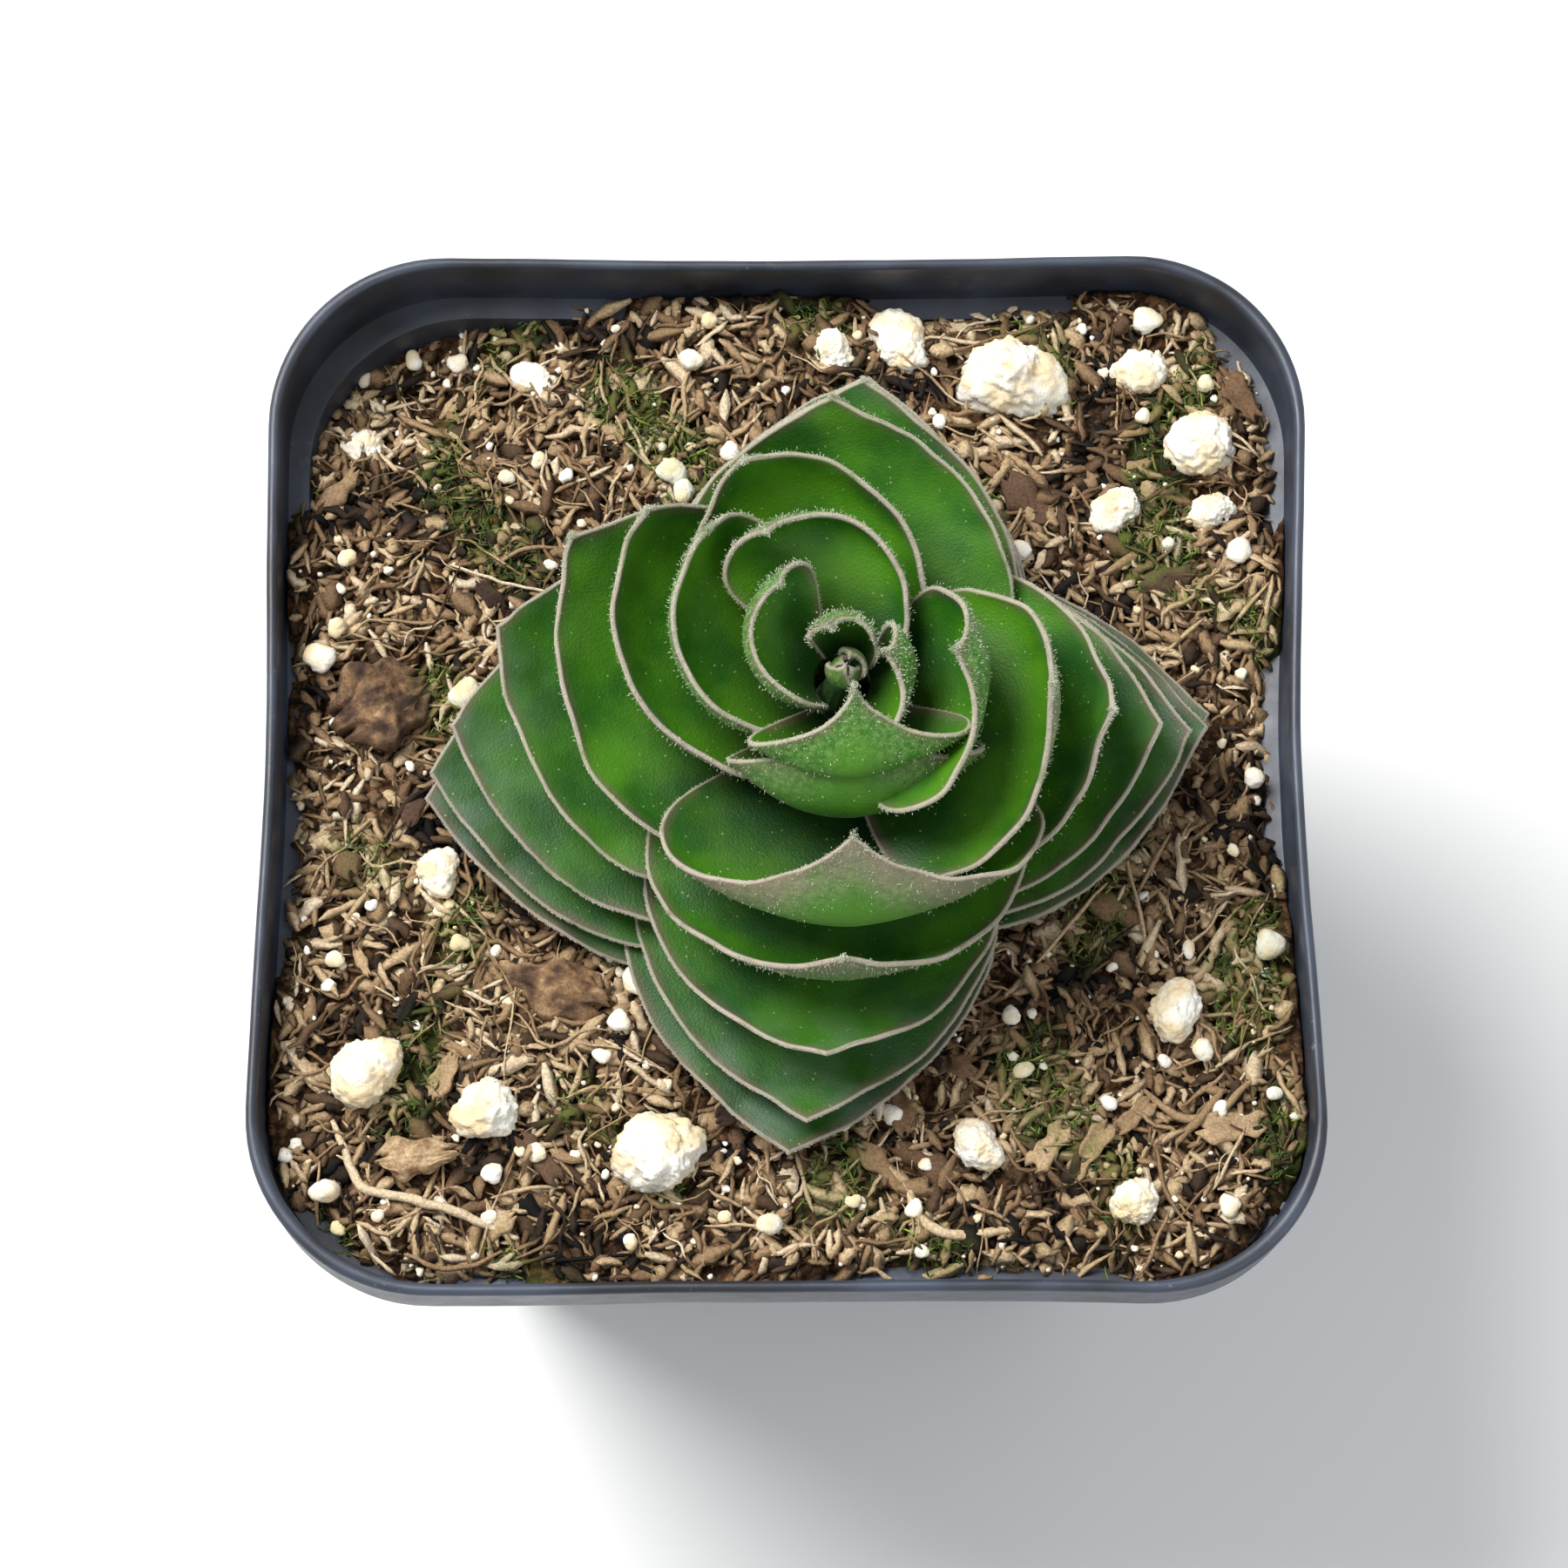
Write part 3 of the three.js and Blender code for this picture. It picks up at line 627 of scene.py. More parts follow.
def stem_radius(z):
    share = np.clip((z - STEM_TOP["taper"]) / (STEM_TOP["z"] - STEM_TOP["taper"]), 0, 1)
    return STEM_RADIUS + (STEM_TOP["radius"] - STEM_RADIUS) * share


class Leaf:
    """One leaf's middle surface, as a grid of points from base to tip and from flank to flank."""

    def __init__(self, name, rank, tier):
        self.name = f"leaf_{name}_{tier + 1}"
        self.replaced = [self.name]
        self.level = level = rank["first_level"] + 2 * tier
        self.base = FIRST_LEVEL + LEVEL_STEP * level
        self.foot = stem_radius(self.base) + ROOT_GAP
        self.facts = growth(rank, level)
        self.lay_out(*((64, 56) if level > 3 else (48, 44)))

    def lay_out(self, rows, columns):
        self.seed = self.level * 3.7
        self.v = 1 - (1 - np.linspace(0, 1, rows)) ** TIP_CROWD
        self.u = np.sin((np.linspace(0, 1, columns) - 0.5) * math.pi)
        self.grid = self.wave(self.surface())

    def surface(self):
        start = np.array([self.foot, self.base])
        facts = self.facts
        end = np.array([facts["reach"], facts["top"]])
        handle = facts["belly"] * np.linalg.norm(end - start)
        rise, hook = math.radians(facts["rise"]), math.radians(facts["hook"])
        near = start + handle * np.array([math.cos(rise), math.sin(rise)])
        far = end - handle * np.array([math.cos(hook), math.sin(hook)])
        v = self.v[:, None]
        spine = (1 - v) ** 3 * start + 3 * (1 - v) ** 2 * v * near + 3 * (1 - v) * v**2 * far + v**3 * end
        u = self.u[None, :]
        clasp = np.where(u < 0, *facts["clasp"])
        pinch = np.where(u < 0, *facts["pinch"])
        aside = u * clasp * (1 - v ** facts["blunt"]) ** FLANK_FADE
        angle = np.radians(facts["root"] + (facts["point"] - facts["root"]) * v**TURN_POWER + aside)
        distance = spine[:, :1] - pinch * (aside / PINCH_ANGLE) ** 2 * v
        z = np.broadcast_to(spine[:, 1:], angle.shape)
        x, y = axis_at(z)
        return np.stack([x + distance * np.cos(angle), y + distance * np.sin(angle), z], -1)

    def wave(self, grid):
        """The margins wander a little, as they do on the plant."""
        edge = np.abs(self.u)[None, :, None] ** 3 * smoothstep(self.v, 0.1, 0.5)[:, None, None]
        near_tip = smoothstep(self.v, 0.75, 1.0)[:, None, None]
        share = np.maximum(edge, near_tip)
        drift = waves(grid, 4.2, self.seed, 2)[..., None] * normals(grid)
        spread = waves(grid, 3.1, self.seed + 40, 2)[..., None] * outward(grid)
        bow = waves(grid, 9.0, self.seed + 9, 1)[..., None] * normals(grid)
        return grid + share * (0.34 * drift + 0.16 * spread) + 0.12 * bow

    def thickness(self):
        """Half the thickness at each grid point: round at the margin, fullest along the middle."""
        rim = self.margin_distance()
        inside = np.minimum(rim, RIM_RADIUS)
        edge = np.sqrt(np.maximum(2 * RIM_RADIUS * inside - inside**2, 0))
        belly = BASE_HALF_THICKNESS + BELLY_HALF_THICKNESS * np.sin(math.pi * self.v**1.2)[:, None]
        return edge + (belly - RIM_RADIUS) * smoothstep(rim, RIM_RADIUS, FULL_INSIDE)

    def margin(self):
        return np.concatenate([self.grid[:, 0], self.grid[-2::-1, -1]])

    def margin_distance(self):
        """How far each grid point is from the margin, measured to the lines between its points."""
        margin = self.margin()
        start, run = margin[:-1], np.diff(margin, axis=0)
        away = self.grid[:, :, None] - start
        share = np.clip((away * run).sum(-1) / np.maximum((run * run).sum(-1), 1e-9), 0, 1)
        gaps = np.linalg.norm(away - share[..., None] * run, axis=-1)
        return gaps.min(-1) * (np.abs(self.u) < 1)[None, :] * (self.v < 1)[:, None]


LEAFLETS = {"count": 4, "level": 15, "root": 40, "cross": 85, "turn": 25, "base": 64.6, "foot": 0.5,
            "reach": 0.2, "height": 2.1, "inner": 0.7}


class Leaflet(Leaf):
    """One of the youngest leaflets, which close over the top of the stem in two pairs."""

    def __init__(self, number):
        pair, side = divmod(number, 2)
        size = LEAFLETS["inner"] ** pair
        root = LEAFLETS["root"] + LEAFLETS["cross"] * pair + 180 * side
        self.name = f"leaflet_{number + 1}"
        self.replaced = []
        self.level = LEAFLETS["level"]
        self.base = LEAFLETS["base"]
        self.foot = LEAFLETS["foot"] * size
        self.facts = {"root": root, "point": root + LEAFLETS["turn"], "reach": LEAFLETS["reach"] * size,
                      "top": self.base + LEAFLETS["height"] * size, "rise": 60, "hook": 125, "blunt": 3,
                      "clasp": (70, 70), "pinch": (0, 0), "belly": 0.6}
        self.lay_out(24, 21)


def normals(grid):
    """The unit normal at each grid point, towards the leaf's back."""
    along = np.gradient(grid, axis=0)
    across = np.gradient(grid, axis=1)
    normal = np.cross(across, along)
    size = np.linalg.norm(normal, axis=-1, keepdims=True)
    normal = np.where(size > 1e-9, normal / np.maximum(size, 1e-9), 0)
    normal[-1] = normal[-2]
    return normal


def outward(grid):
    """The level direction away from the stem."""
    x, y = axis_at(grid[..., 2])
    away = np.stack([grid[..., 0] - x, grid[..., 1] - y, np.zeros_like(x)], -1)
    return away / np.maximum(np.linalg.norm(away, axis=-1, keepdims=True), 1e-6)


def settle(leaves):
    """Where leaves press together the lower one gives way: it is pushed out from the back of the upper one.

    The bud leaves are left as they grow.
    """
    leaves = sorted(leaves, key=lambda leaf: -leaf.level)
    trees = []
    for leaf in leaves:
        half = leaf.thickness()
        for upper, tree, upper_normals, upper_half in trees:
            if upper.level - leaf.level > 7 or leaf.level >= BUD_LEVEL:
                continue
            for _ in range(2):
                push = np.zeros(leaf.grid.shape)
                for index in np.ndindex(leaf.grid.shape[:2]):
                    here = leaf.grid[index]
                    spot, _, face, _ = tree.find_nearest(Vector(here), 2.6)
                    if spot is None:
                        continue
                    row, column = divmod(face, upper.grid.shape[1] - 1)
                    normal = upper_normals[row, column]
                    away = here - np.array(spot)
                    depth = away @ normal
                    need = half[index] + upper_half[row, column] + 0.06
                    aside = np.linalg.norm(away - depth * normal)
                    if -DEEPEST_PUSH < depth < need and aside < 0.5:
                        push[index] = normal * (need - depth)
                if not push.any():
                    break
                leaf.grid = leaf.grid + spread(push)
        quads = grid_quads(*leaf.grid.shape[:2])
        tree = BVHTree.FromPolygons([Vector(p) for p in leaf.grid.reshape(-1, 3)], quads.tolist())
        trees.append((leaf, tree, normals(leaf.grid), half))


def spread(push):
    """Smooths a push over the grid, so that the blade bends and doesn't kink."""
    wide = push
    for _ in range(3):
        padded = np.pad(wide, ((1, 1), (1, 1), (0, 0)), "edge")
        along = padded[:-2, 1:-1] + padded[2:, 1:-1]
        wide = (along + padded[1:-1, :-2] + padded[1:-1, 2:] + 2 * wide) / 6
    big = np.linalg.norm(push, axis=-1, keepdims=True) > np.linalg.norm(wide, axis=-1, keepdims=True)
    return np.where(big, 0.5 * (push + wide), wide)


def make_leaf(leaf, paint, top_level):
    """The face and the back, which share their margin, and the cut where the leaf meets the stem."""
    rows, columns = leaf.grid.shape[:2]
    half = leaf.thickness()
    normal = normals(leaf.grid)
    rim = leaf.margin_distance()
    face = leaf.grid - normal * half[..., None]
    back = leaf.grid + normal * half[..., None]
    front_index = np.arange(rows * columns).reshape(rows, columns)
    back_index = front_index + rows * columns
    back_index[:, 0], back_index[:, -1] = front_index[:, 0], front_index[:, -1]
    front_index[-1, :] = front_index[-1, 0]
    back_index[-1, :] = front_index[-1, 0]
    quads = []
    for index, flip in ((front_index, False), (back_index, True)):
        a, b, c, d = index[:-1, :-1], index[1:, :-1], index[1:, 1:], index[:-1, 1:]
        order = (a, d, c, b) if flip else (a, b, c, d)
        quads.append(np.stack([q.ravel() for q in order], -1))
    base = [(front_index[0, i], front_index[0, i + 1], back_index[0, i + 1], back_index[0, i])
            for i in range(columns - 1)]
    faces = []
    for quad in [*np.concatenate(quads), *base]:
        corners = list(dict.fromkeys(int(i) for i in quad))
        if len(corners) > 2:
            faces.append(corners)
    points = np.concatenate([face.reshape(-1, 3), back.reshape(-1, 3)])
    used = sorted({i for f in faces for i in f})
    number = {old: new for new, old in enumerate(used)}
    faces = [[number[i] for i in f] for f in faces]
    facts = {
        "rim": np.tile(rim.ravel(), 2)[used],
        "back": np.repeat([0.0, 1.0], rim.size)[used],
        "along": np.tile(np.repeat(leaf.v, columns), 2)[used],
        "age": np.full(len(used), leaf.level / top_level),
    }
    add_piece(f"{leaf.name}_blade", points[used], faces, paint, "leaf", leaf.replaced, attributes=facts)


def make_leaves():
    leaves = [Leaf(name, rank, tier) for name, rank in RANKS.items() for tier in range(rank["leaves"])]
    settle(leaves)
    paint = leaf_paint()
    top_level = max(leaf.level for leaf in leaves)
    leaflets = [Leaflet(number) for number in range(LEAFLETS["count"])]
    for leaf in leaves + leaflets:
        make_leaf(leaf, paint, top_level)
    make_hairs("margin_hairs", leaves + leaflets, margin_roots)
    make_hairs("back_hairs", [leaf for leaf in leaves if leaf.level >= 7], back_roots)


def margin_roots(leaf):
    """Where hairs grow along a leaf's margin, and which way they point."""
    inner = np.concatenate([leaf.grid[:, 2], leaf.grid[-2::-1, -3]])
    margin = leaf.margin()
    lengths = np.concatenate([[0], np.cumsum(np.linalg.norm(np.diff(margin, axis=0), axis=1))])
    where = np.sort(rng.uniform(0.06, 0.94, int(HAIRS_PER_MM * lengths[-1]))) * lengths[-1]

    def follow(line):
        return np.stack([np.interp(where, lengths, line[:, axis]) for axis in range(3)], -1)

    return follow(margin), follow(margin - inner)


def back_roots(leaf):
    """Where hairs grow on the back of an upright leaf: mostly near its margin."""
    rim = leaf.margin_distance()
    chance = (smoothstep(rim, 3.5, 0.2) * (leaf.v > 0.25)[:, None]).ravel()
    chosen = rng.choice(chance.size, BACK_HAIRS, p=chance / chance.sum())
    normal = normals(leaf.grid).reshape(-1, 3)[chosen]
    spots = leaf.grid.reshape(-1, 3)[chosen] + normal * leaf.thickness().ravel()[chosen][:, None]
    return spots + rng.normal(0, 0.09, spots.shape), normal


def make_hairs(name, leaves, roots):
    """The short pale hairs, each a closed spike of four sides."""
    grown = [roots(leaf) for leaf in leaves]
    place = np.concatenate([spots for spots, _ in grown])
    toward = unit(np.concatenate([way for _, way in grown]))
    toward = unit(toward + rng.normal(0, 0.35, toward.shape))
    side = unit(np.cross(toward, rng.normal(size=toward.shape)))
    other = np.cross(toward, side)
    thick = rng.uniform(*HAIR_THICKNESS, (len(place), 1))
    foot = place - 0.04 * toward
    corners = [foot + thick * way for way in (side, other, -side, -other)]
    points = np.stack([*corners, place + rng.uniform(*HAIR_LENGTH, (len(place), 1)) * toward], 1)
    spike = [[0, 1, 4], [1, 2, 4], [2, 3, 4], [3, 0, 4], [2, 1, 0], [3, 2, 0]]
    faces = (np.array(spike)[None] + 5 * np.arange(len(place))[:, None, None]).reshape(-1, 3)
    add_piece(name, points, faces, fuzz_paint(), "leaf", smooth=False)


# ---------------------------------------------------------------- potting mix

SOIL_LEVEL = 48.5
SOIL_DIP = {"x": -20, "y": 24, "reach": 8, "depth": 3.4}
WALL_GROOVE = {"reach": 2.4, "depth": 1.8}
PLANT = {"x": 1.5, "y": -1.0, "reach": 12}
NAMED_GRAINS = [f"perlite_{k}" for k in range(1, 17)]
NAMED_CHIPS = [f"bark_chip_{k}" for k in range(1, 4)]


def patches(x, y, size, seed):
    """Soft random patches over the mix, about -1 to 1: waves of about that size crossing at random."""
    local = np.random.default_rng(seed)
    total = np.zeros_like(np.asarray(x, float))
    for _ in range(8):
        heading = local.uniform(0, TAU)
        pace = TAU / size * local.uniform(0.6, 1.5)
        along = x * math.cos(heading) + y * math.sin(heading)
        total = total + np.sin(pace * along + local.uniform(0, TAU))
    return total / 3


def moss_share(x, y):
    """Where the mix is damp and has algae."""
    return smoothstep(patches(x, y, 8.0, 3), 0.15, 0.85)


def moss_at(points):
    return moss_share(points[:, 0], points[:, 1])


def dark_share(x, y):
    """Where the mix is dark."""
    return smoothstep(patches(x, y, 12.0, 8), 0.1, 0.9)


def wall_room(x, y):
    """How far a point is from the pot's inner wall."""
    y = np.asarray(y) / STRETCH
    return outline(RIM_HALF - WALL - 0.25, np.arctan2(y, x)) - np.hypot(x, y)


def soil_height(x, y):
    """The height of the mix: low mounds, a dip in one corner and an uneven groove along the wall."""
    mounds = 0.22 * np.sin(0.31 * x + 1) * np.cos(0.27 * y) + 0.16 * np.sin(0.55 * y - 0.4 * x)
    away = ((x - SOIL_DIP["x"]) ** 2 + (y - SOIL_DIP["y"]) ** 2) / SOIL_DIP["reach"] ** 2
    dip = SOIL_DIP["depth"] * np.exp(-away)
    room = wall_room(x, y)
    groove = smoothstep(room, WALL_GROOVE["reach"], 0) * smoothstep(patches(x, y, 14.0, 5), -0.2, 0.8)
    heap = 0.35 * smoothstep(room, 3.5, 0.5)
    return SOIL_LEVEL + mounds - dip - WALL_GROOVE["depth"] * groove + heap


def make_bed(paint):
    """The mix itself: a rough dark top, and a plain side and underside."""
    angles = crowded_angles(400)
    shares = np.linspace(1, 0.02, 112)[:, None]
    edge = pot_ring(RIM_HALF - WALL - 0.22, 0, angles)
    x, y = shares * edge[:, 0], shares * edge[:, 1]
    flat = np.stack([x, y, np.zeros_like(x)], -1)
    crumbs = 0.42 * waves(flat, 1.5, 1.0, 4) + 0.25 * waves(flat, 0.55, 5.0, 2)
    top = np.stack([x, y, soil_height(x, y) - 0.35 + crumbs], -1)
    levels = (FLOOR + 0.35, 16.0, 32.0, LIP_BOTTOM - 1.6)
    sides = np.array([pot_ring(wall_half(z) - WALL - 0.3, z, angles) for z in levels])
    points, faces = closed_skin(np.concatenate([sides, top]))
    add_piece("potting_mix_bed", points, faces, paint, "potting_mix", ["soil"],
              attributes={"moss": moss_at(points)})


def scatter(count, clear, thin):
    """Random places on the mix, that far from the wall; thin gives the chance to keep a place."""
    places = []
    while len(places) < count:
        x, y = rng.uniform(-27, 27, 2)
        if wall_room(x, y) < clear:
            continue
        if rng.random() > thin(x, y):
            continue
        places.append((x, y))
    return np.array(places)


def is_under(x, y):
    return math.hypot(x - PLANT["x"], y - PLANT["y"]) < PLANT["reach"]


def under_plant(x, y):
    """Fewer pieces lie under the plant, where nothing shows."""
    return 0.3 if is_under(x, y) else 1.0


def beside_plant(x, y):
    """Nothing under the plant or on the named pieces of the frame."""
    taken = is_under(x, y) or any(math.hypot(x - a, y - b) < reach for a, b, reach in named_pieces())
    return 0.0 if taken else 1.0


@functools.cache
def named_pieces():
    """The place and reach of each grain and chip of the frame."""
    found = []
    for name in NAMED_GRAINS + NAMED_CHIPS:
        low, high = node_box(name)
        middle = (low + high) / 2
        found.append((middle[0], middle[1], (high - low)[:2].max() / 2 + 0.8))
    return found


def strands(places, length, width, flat, bend, lift, stations, taper=0.35, rise=0.16):
    """Bent flattened strands, each a closed bar of four sides: their points, their faces and how many."""
    n = len(places)
    t = np.linspace(-0.5, 0.5, stations)[None, :]
    bend = bend[:, None]
    heading = rng.uniform(0, TAU, n)[:, None]
    wiggle = np.sin(9 * t + rng.uniform(0, TAU, (n, 1)))
    heading = heading + bend * t + 0.5 * bend * wiggle
    step = length[:, None] / (stations - 1)
    dx, dy = np.cos(heading) * step, np.sin(heading) * step
    x = places[:, :1] + np.cumsum(dx, 1) - dx.sum(1, keepdims=True) / 2
    y = places[:, 1:] + np.cumsum(dy, 1) - dy.sum(1, keepdims=True) / 2
    inside = wall_room(x, y).min(1) > 0.05
    pitch = rng.normal(0, rise, n)[:, None]
    arch = np.abs(rng.normal(0, 0.10, n))[:, None]
    z = soil_height(x, y) + lift[:, None] + length[:, None] * (pitch * t + arch * (0.25 - t * t))
    z = np.minimum(z, SOIL_LEVEL + 2.6)
    middle = np.stack([x, y, z], -1)[inside]
    heading, width, flat = heading[inside], width[inside], flat[inside]
    n = len(middle)
    end = 1 - (1 - taper) * (np.abs(2 * t) ** 4)
    uneven = 1 + 0.22 * np.sin(11 * t + rng.uniform(0, TAU, (n, 1)))
    half = width[:, None] / 2 * end * uneven
    roll = rng.normal(0, 0.5, n)[:, None, None]
    across = np.stack([-np.sin(heading), np.cos(heading), 0 * heading], -1)
    upward = np.array([0.0, 0.0, 1.0])
    wide = (across * np.cos(roll) + upward * np.sin(roll)) * half[..., None]
    thick = (upward * np.cos(roll) - across * np.sin(roll)) * (half * flat[:, None])[..., None]
    ring = np.stack([middle + wide, middle + thick, middle - wide, middle - thick], 2)
    sides = [strip(4 * k, 4 * (k + 1), 4) for k in range(stations - 1)]
    caps = np.array([[3, 2, 1, 0], 4 * (stations - 1) + np.arange(4)])
    bar = np.concatenate([*sides, caps])
    faces = (bar[None] + (np.arange(n) * stations * 4)[:, None, None]).reshape(-1, 4)
    return ring.reshape(-1, 3), faces, n


def strand_piece(name, places, sizes, stations, paint, tone, **more):
    """A piece of many strands, with their lengths, widths, flatness, bends and lifts; tone is a beta law."""
    points, faces, n = strands(places, *sizes, stations, **more)
    each = len(points) // n
    tones = np.repeat(rng.beta(*tone, n), each)
    x, y = points[:, 0], points[:, 1]
    shade = np.clip(tones - 0.45 * dark_share(x, y) * np.repeat(rng.uniform(0.3, 1, n), each), 0, 1)
    moss = moss_share(x, y) * np.repeat(rng.uniform(0.2, 1, n), each)
    add_piece(name, points, faces, paint, "potting_mix", attributes={"tone": shade, "moss": moss})


TAN_STOPS = ((0.0, srgb(16, 13, 12)), (0.16, srgb(54, 42, 32)), (0.34, srgb(112, 88, 64)),
             (0.58, srgb(166, 138, 104)), (0.8, srgb(210, 186, 148)), (1.0, srgb(238, 222, 194)))


def coir(paint, name, count, clear, length, width, flat, bend, lift, stations, tone, rise):
    """One layer of coir; length and width are a lognormal law's two numbers, the least and the most."""
    places = scatter(count, clear, under_plant)
    sizes = [rng.lognormal(*law[:2], count).clip(*law[2:]) for law in (length, width)]
    sizes += [rng.uniform(*flat, count), rng.normal(0, bend, count), rng.uniform(*lift, count)]
    strand_piece(name, places, sizes, stations, paint, tone, rise=rise)


def make_fibres():
    """Shredded coir and bark: many short flat flakes, and longer strands over them."""
    paint = fibre_paint("coir", TAN_STOPS, 0.8)
    coir(paint, "coir_flakes_low", 5200, 0.3, length=(0.15, 0.4, 0.5, 2.6), width=(-0.65, 0.4, 0.2, 1.3),
         flat=(0.2, 0.5), bend=0.4, lift=(-0.45, 0.05), stations=4, tone=(1.6, 1.9), rise=0.22)
    coir(paint, "coir_flakes_top", 5200, 0.3, length=(0.35, 0.42, 0.6, 3.2), width=(-0.85, 0.45, 0.14, 1.1),
         flat=(0.2, 0.5), bend=0.5, lift=(-0.2, 0.35), stations=5, tone=(2.3, 1.5), rise=0.2)
    coir(paint, "coir_strands", 750, 0.5, length=(1.15, 0.35, 2.0, 6.5), width=(-1.75, 0.35, 0.1, 0.35),
         flat=(0.5, 0.9), bend=0.9, lift=(0.0, 0.45), stations=9, tone=(3.2, 2.0), rise=0.08)


CHIP_STOPS = ((0.0, srgb(34, 26, 22)), (0.3, srgb(84, 64, 52)), (0.6, srgb(142, 112, 82)),
              (1.0, srgb(206, 180, 142)))
FLAKE_COUNT = 26


def slab(place, length, width, thick, heading, tilt, curl, seed, grid=(18, 9)):
    """A ragged flake, thin and curled across: its closed skin."""
    rows, columns = grid
    a = np.linspace(-1, 1, rows)[:, None]
    b = np.linspace(-1, 1, columns)[None, :]
    ragged = 1 + 0.22 * np.sin(3.1 * a + seed) + 0.14 * np.sin(7.3 * a + 2 * seed)
    ends = 1 + 0.16 * np.sin(5.0 * b + seed) + 0.08 * np.sin(11.0 * b + 3 * seed)
    x = a * length / 2 * ends
    y = b * width / 2 * ragged * np.sqrt(np.clip(1.05 - 0.75 * a**4, 0.05, 1))
    z = curl * width * (b**2) + 0.06 * width * np.sin(4 * a + seed) + 0.02 * width * np.sin(21 * b + seed)
    z = z + np.zeros_like(x)
    half = thick / 2 * np.sqrt(np.clip(1.02 - a**8, 0, 1) * np.clip(1.02 - b**8, 0, 1))
    top = np.stack([x, y, z + half], -1).reshape(-1, 3)
    under = np.stack([x, y, z - half], -1).reshape(-1, 3)
    quads = grid_quads(rows, columns)
    size = rows * columns
    faces = [*quads, *(quads[:, ::-1] + size)]
    edge = [*range(columns), *range(2 * columns - 1, size, columns)]
    edge += [*range(size - 2, size - columns - 1, -1), *range(size - 2 * columns, 0, -columns)]
    for here, there in zip(edge, edge[1:] + edge[:1]):
        faces.append(np.array([here, there, there + size, here + size]))
    c, s = math.cos(math.radians(tilt)), math.sin(math.radians(tilt))
    points = np.concatenate([top, under]) @ np.array([[c, 0, -s], [0, 1, 0], [s, 0, c]]).T
    return spun(points, math.radians(heading)) + np.array(place), faces


def make_flakes():
    skins, tones = [], []
    for k, (x, y) in enumerate(scatter(FLAKE_COUNT, 1.5, beside_plant)):
        length = rng.uniform(1.6, 3.4)
        place = (x, y, soil_height(x, y) + 0.35)
        skins.append(slab(place, length, length * rng.uniform(0.3, 0.55), 0.3, rng.uniform(0, 360),
                          rng.normal(0, 9), rng.uniform(-0.3, 0.3), 1.7 * k))
        tones.append(rng.beta(2.4, 2.0))
    points, faces = joined(skins)
    facts = {"tone": spread_over(skins, tones), "moss": moss_at(points)}
    paint = fibre_paint("bark_flake", CHIP_STOPS, 0.4)
    add_piece("bark_flakes", points, faces, paint, "bark", attributes=facts)


# ---------------------------------------------------------------- perlite and other loose pieces

GRAIN_COUNT = 85
CRUMB_COUNT = 420


def ball(level):
    """A unit ball of nearly even triangles: points and faces."""
    shape = bmesh.new()
    bmesh.ops.create_icosphere(shape, subdivisions=level, radius=1)
    points = np.array([v.co for v in shape.verts])
    faces = np.array([[v.index for v in f.verts] for f in shape.faces])
    shape.free()
    return points, faces


BALLS = {level: ball(level) for level in (1, 2, 3, 5)}


def foam_lump(size, seed, level, lobes, squash=0.85):
    """A popped grain: a few lobes run together, with a rough pitted skin."""
    points, faces = BALLS[level]
    local = np.random.default_rng(int(seed * 1000) % 100000)
    reach = np.full(len(points), 0.70)
    for _ in range(lobes):
        toward = unit(local.normal(size=3) * (1, 1, 0.6))
        reach += local.uniform(0.18, 0.34) * np.clip(points @ toward, 0, 1) ** local.uniform(2.5, 5)
    rough = 0.11 * waves(points, 0.45, seed, 3)
    if level < 3:
        rough += 0.34 * waves(points, 1.0, seed + 5, 2)
    if level > 2:
        rough += 0.05 * waves(points, 0.14, seed + 3, 2) - 0.05 * np.abs(waves(points, 0.3, seed + 8, 2))
    skin = points * (reach + rough)[:, None]
    skin = spun(skin, local.uniform(0, TAU))
    span = (skin.max(0) - skin.min(0))[:2].max()
    return skin / span * size * (1, 1, squash), faces


def make_perlite():
    """The frame's sixteen grains by themselves, and the small grains and crumbs as one piece."""
    paint = perlite_paint()
    for k, name in enumerate(NAMED_GRAINS, 1):
        low, high = node_box(name)
        skin, faces = foam_lump((high - low)[:2].max() * 1.03, 1.7 * k, 5, lobes=3 + k % 3)
        points = skin + (low + high) / 2 + (0, 0, 0.15)
        moss = 0.9 * moss_at(points) * smoothstep(skin[:, 2], 0.6, -0.4)
        add_piece(f"perlite_grain_{k}", points, faces, paint, "perlite", [name], attributes={"moss": moss})
    grain_places = scatter(GRAIN_COUNT, 0.8, beside_plant)
    grain_sizes = rng.lognormal(-0.05, 0.35, GRAIN_COUNT).clip(0.5, 2.0)
    crumb_places = scatter(CRUMB_COUNT, 0.4, under_plant)
    crumb_sizes = rng.lognormal(-1.1, 0.45, CRUMB_COUNT).clip(0.12, 0.8)
    places = np.concatenate([grain_places, crumb_places])
    skins = []
    for k, ((x, y), size) in enumerate(zip(places, [*grain_sizes, *crumb_sizes])):
        level = 3 if k < GRAIN_COUNT else 1 if size < 0.3 else 2
        skin, faces = foam_lump(size, 0.37 * k + 50, level, lobes=4, squash=0.7)
        lift = 0.25 + 0.3 * size * (level == 3)
        skins.append((skin + (x, y, soil_height(x, y) + lift), faces))
    points, faces = joined(skins)
    moss = 0.6 * moss_at(points)
    add_piece("perlite_crumbs", points, faces, paint, "perlite", attributes={"moss": moss})


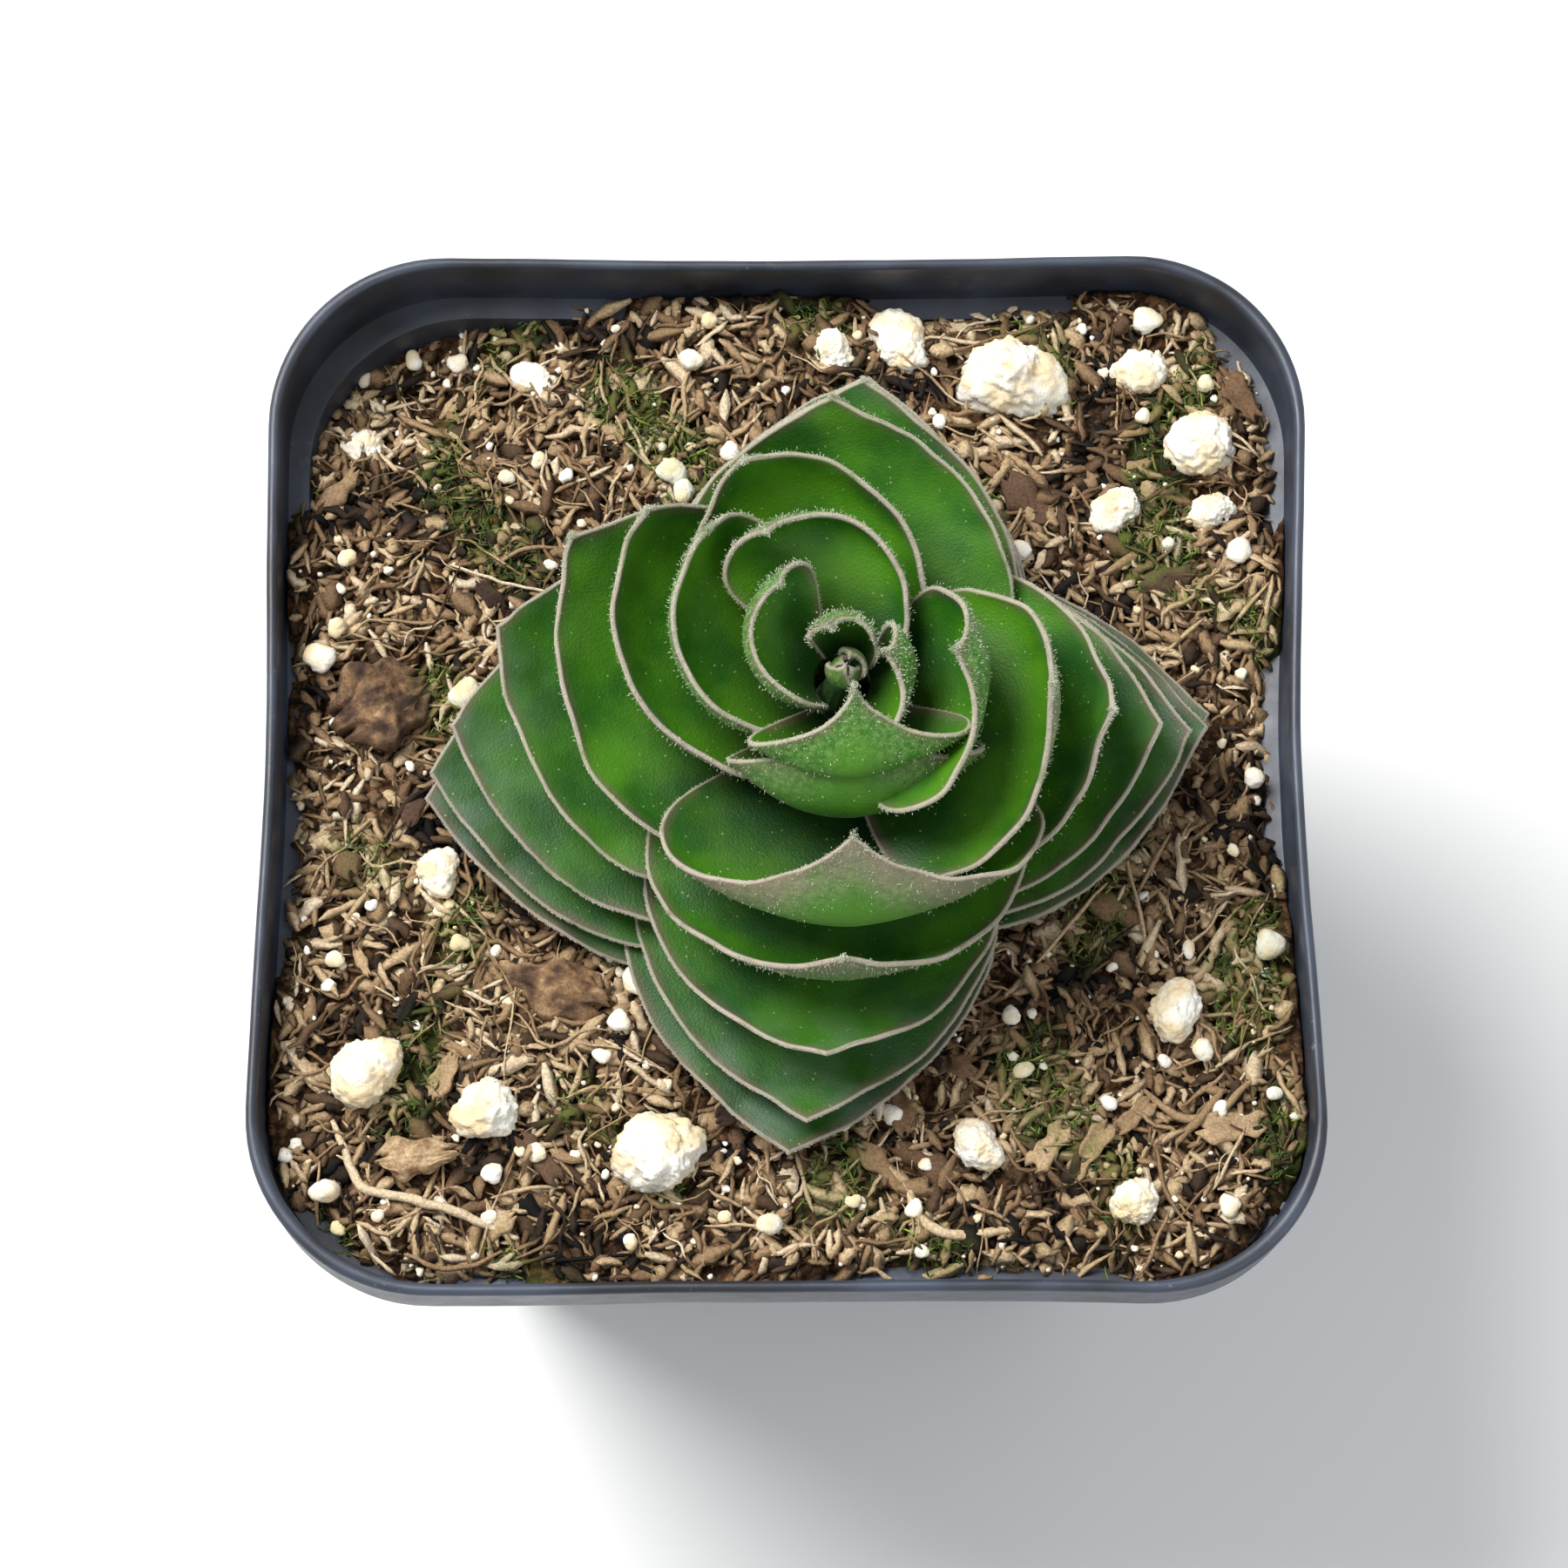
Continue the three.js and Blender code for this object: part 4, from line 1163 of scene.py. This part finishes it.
# The curled brown flake by the plant, the dark lump at the left and the tan one at the lower left.
CHIP_LOOKS = [
    {"length": 5.6, "width": 2.8, "thick": 0.6, "heading": -20, "tilt": 8, "curl": -0.32},
    {"length": 5.0, "width": 4.0, "thick": 1.9, "heading": 30, "tilt": -10, "curl": 0.05},
    {"length": 3.7, "width": 1.8, "thick": 1.1, "heading": 5, "tilt": 6, "curl": -0.08},
]
CHIP_TONES = [0.5, 0.4, 0.85]


def make_chips():
    bark = fibre_paint("bark_chip", CHIP_STOPS, 0.3)
    for k, (name, look, tone) in enumerate(zip(NAMED_CHIPS, CHIP_LOOKS, CHIP_TONES), 1):
        low, high = node_box(name)
        points, faces = slab((low + high) / 2 + (0, 0, 0.35), **look, seed=0.9 * k, grid=(48, 26))
        points = points + 0.16 * waves(points, 0.9, 4.0 * k, 3)[:, None] * (0.4, 0.4, 1)
        tones = np.clip(tone + 0.38 * waves(points, 0.8, 7.0 * k, 3), 0, 1)
        facts = {"tone": tones, "moss": 0.5 * moss_at(points)}
        add_piece(f"{name}_flake", points, faces, bark, "bark", [name], attributes=facts)


# The three loose roots of the frame, by the CAD's routes: points with a lift, then radius and tone.
THREADS = {
    "twig_1": ([(-23, -18, 0.2), (-21.5, -21.5, 0.4), (-17.5, -22.5, 0.6), (-13.5, -24, 0.2)], 0.26, 0.9),
    "twig_2": ([(6, -21, 0.2), (6.5, -23, 0.4), (8, -24, 0.4), (11.5, -23.5, 0.2)], 0.28, 0.85),
    "twig_3": ([(18, -16.5, 0.2), (19.5, -18, 0.5), (21.5, -18, 0.5), (23.5, -16, 0.3)], 0.22, 0.6),
}
LOOSE_ROOT_COUNT = 16
ROOT_SIDES = 8


def wandering_route(x, y, length):
    """A loose root's route from a place: a bent line that lifts in the middle."""
    share = np.linspace(0, 1, 6)
    heading = rng.uniform(0, TAU) + rng.normal(0, 0.9) * share
    step = length / (len(share) - 1)
    along = np.stack([x + np.cumsum(step * np.cos(heading)), y + np.cumsum(step * np.sin(heading))], -1)
    return np.column_stack([along, 0.25 + 0.4 * np.sin(math.pi * share)])


def thread_skin(route, radius):
    """A root along its route: a closed tube that thins to its ends."""
    sides = ROOT_SIDES
    route = np.array(route, float)
    lengths = np.concatenate([[0], np.cumsum(np.linalg.norm(np.diff(route, axis=0), axis=1))])
    where = np.linspace(0, lengths[-1], max(8, int(6 * lengths[-1])))
    path = np.stack([np.interp(where, lengths, route[:, axis]) for axis in range(3)], -1)
    for _ in range(12):
        path[1:-1] = (path[:-2] + 2 * path[1:-1] + path[2:]) / 4
    path[:, 2] += soil_height(path[:, 0], path[:, 1])
    path += 0.12 * np.stack([waves(path, 1.6, axis * 9.0, 2) for axis in range(3)], -1)
    along = unit(np.gradient(path, axis=0))
    side = unit(np.cross(along, (0, 0, 1.0)))
    up = np.cross(side, along)
    share = np.linspace(-1, 1, len(path))
    size = radius * (1 - 0.55 * np.abs(share) ** 3) * (1 + 0.15 * waves(path, 0.7, 3.0, 2))
    angle = (np.arange(sides) / sides * TAU)[None, :, None]
    around = np.cos(angle) * side[:, None] + np.sin(angle) * up[:, None]
    ring = path[:, None] + size[:, None, None] * around
    walls = [strip(k * sides, (k + 1) * sides, sides)[:, ::-1] for k in range(len(path) - 1)]
    faces = [*np.concatenate(walls)]
    faces += [np.arange(sides), np.arange(sides)[::-1] + (len(path) - 1) * sides]
    return ring.reshape(-1, 3), faces


def root_piece(name, skins, tones, paint, replaced=()):
    points, faces = joined(skins)
    facts = {"tone": spread_over(skins, tones), "moss": np.zeros(len(points))}
    add_piece(name, points, faces, paint, "root", replaced, attributes=facts)


def make_threads():
    """The frame's three twigs, and loose roots that wander over the mix."""
    paint = fibre_paint("dry_root", TAN_STOPS, 0.2)
    for name, (route, radius, tone) in THREADS.items():
        root_piece(f"{name}_root", [thread_skin(route, radius)], [tone], paint, [name])
    skins, tones = [], []
    for x, y in scatter(LOOSE_ROOT_COUNT, 2.0, beside_plant):
        route = wandering_route(x, y, rng.uniform(3, 8))
        if wall_room(route[:, 0], route[:, 1]).min() < 0.6:
            continue
        tones.append(rng.beta(3.0, 1.5))
        skins.append(thread_skin(route, rng.uniform(0.08, 0.24)))
    root_piece("loose_roots", skins, tones, paint)


MOSS_COUNT = 2600


def moss_chance(x, y):
    return moss_share(x, y) ** 2 * under_plant(x, y)


def make_moss():
    """Short upright green threads where the mix is damp."""
    n = MOSS_COUNT
    places = scatter(n, 0.4, moss_chance)
    sizes = [rng.uniform(0.4, 1.1, n), rng.uniform(0.07, 0.16, n), rng.uniform(0.6, 0.9, n),
             rng.normal(0, 1.2, n), rng.uniform(0.1, 0.5, n)]
    strand_piece("moss_threads", places, sizes, 4, moss_paint(), (2, 2.5), rise=0.5, taper=0.2)


def make_stem(paint):
    """The stem and its roots: hidden in the leaves and the mix, and finished all the same."""
    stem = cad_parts["stem_and_roots"]
    stem.data.materials.clear()
    stem.data.materials.append(paint)


# ---------------------------------------------------------------- the whole

def main():
    make_camera()
    make_lights()
    make_floor()
    make_pot(pot_paint())
    make_bed(bed_paint())
    make_fibres()
    make_flakes()
    make_perlite()
    make_chips()
    make_threads()
    make_moss()
    make_stem(stem_paint())
    make_leaves()


main()
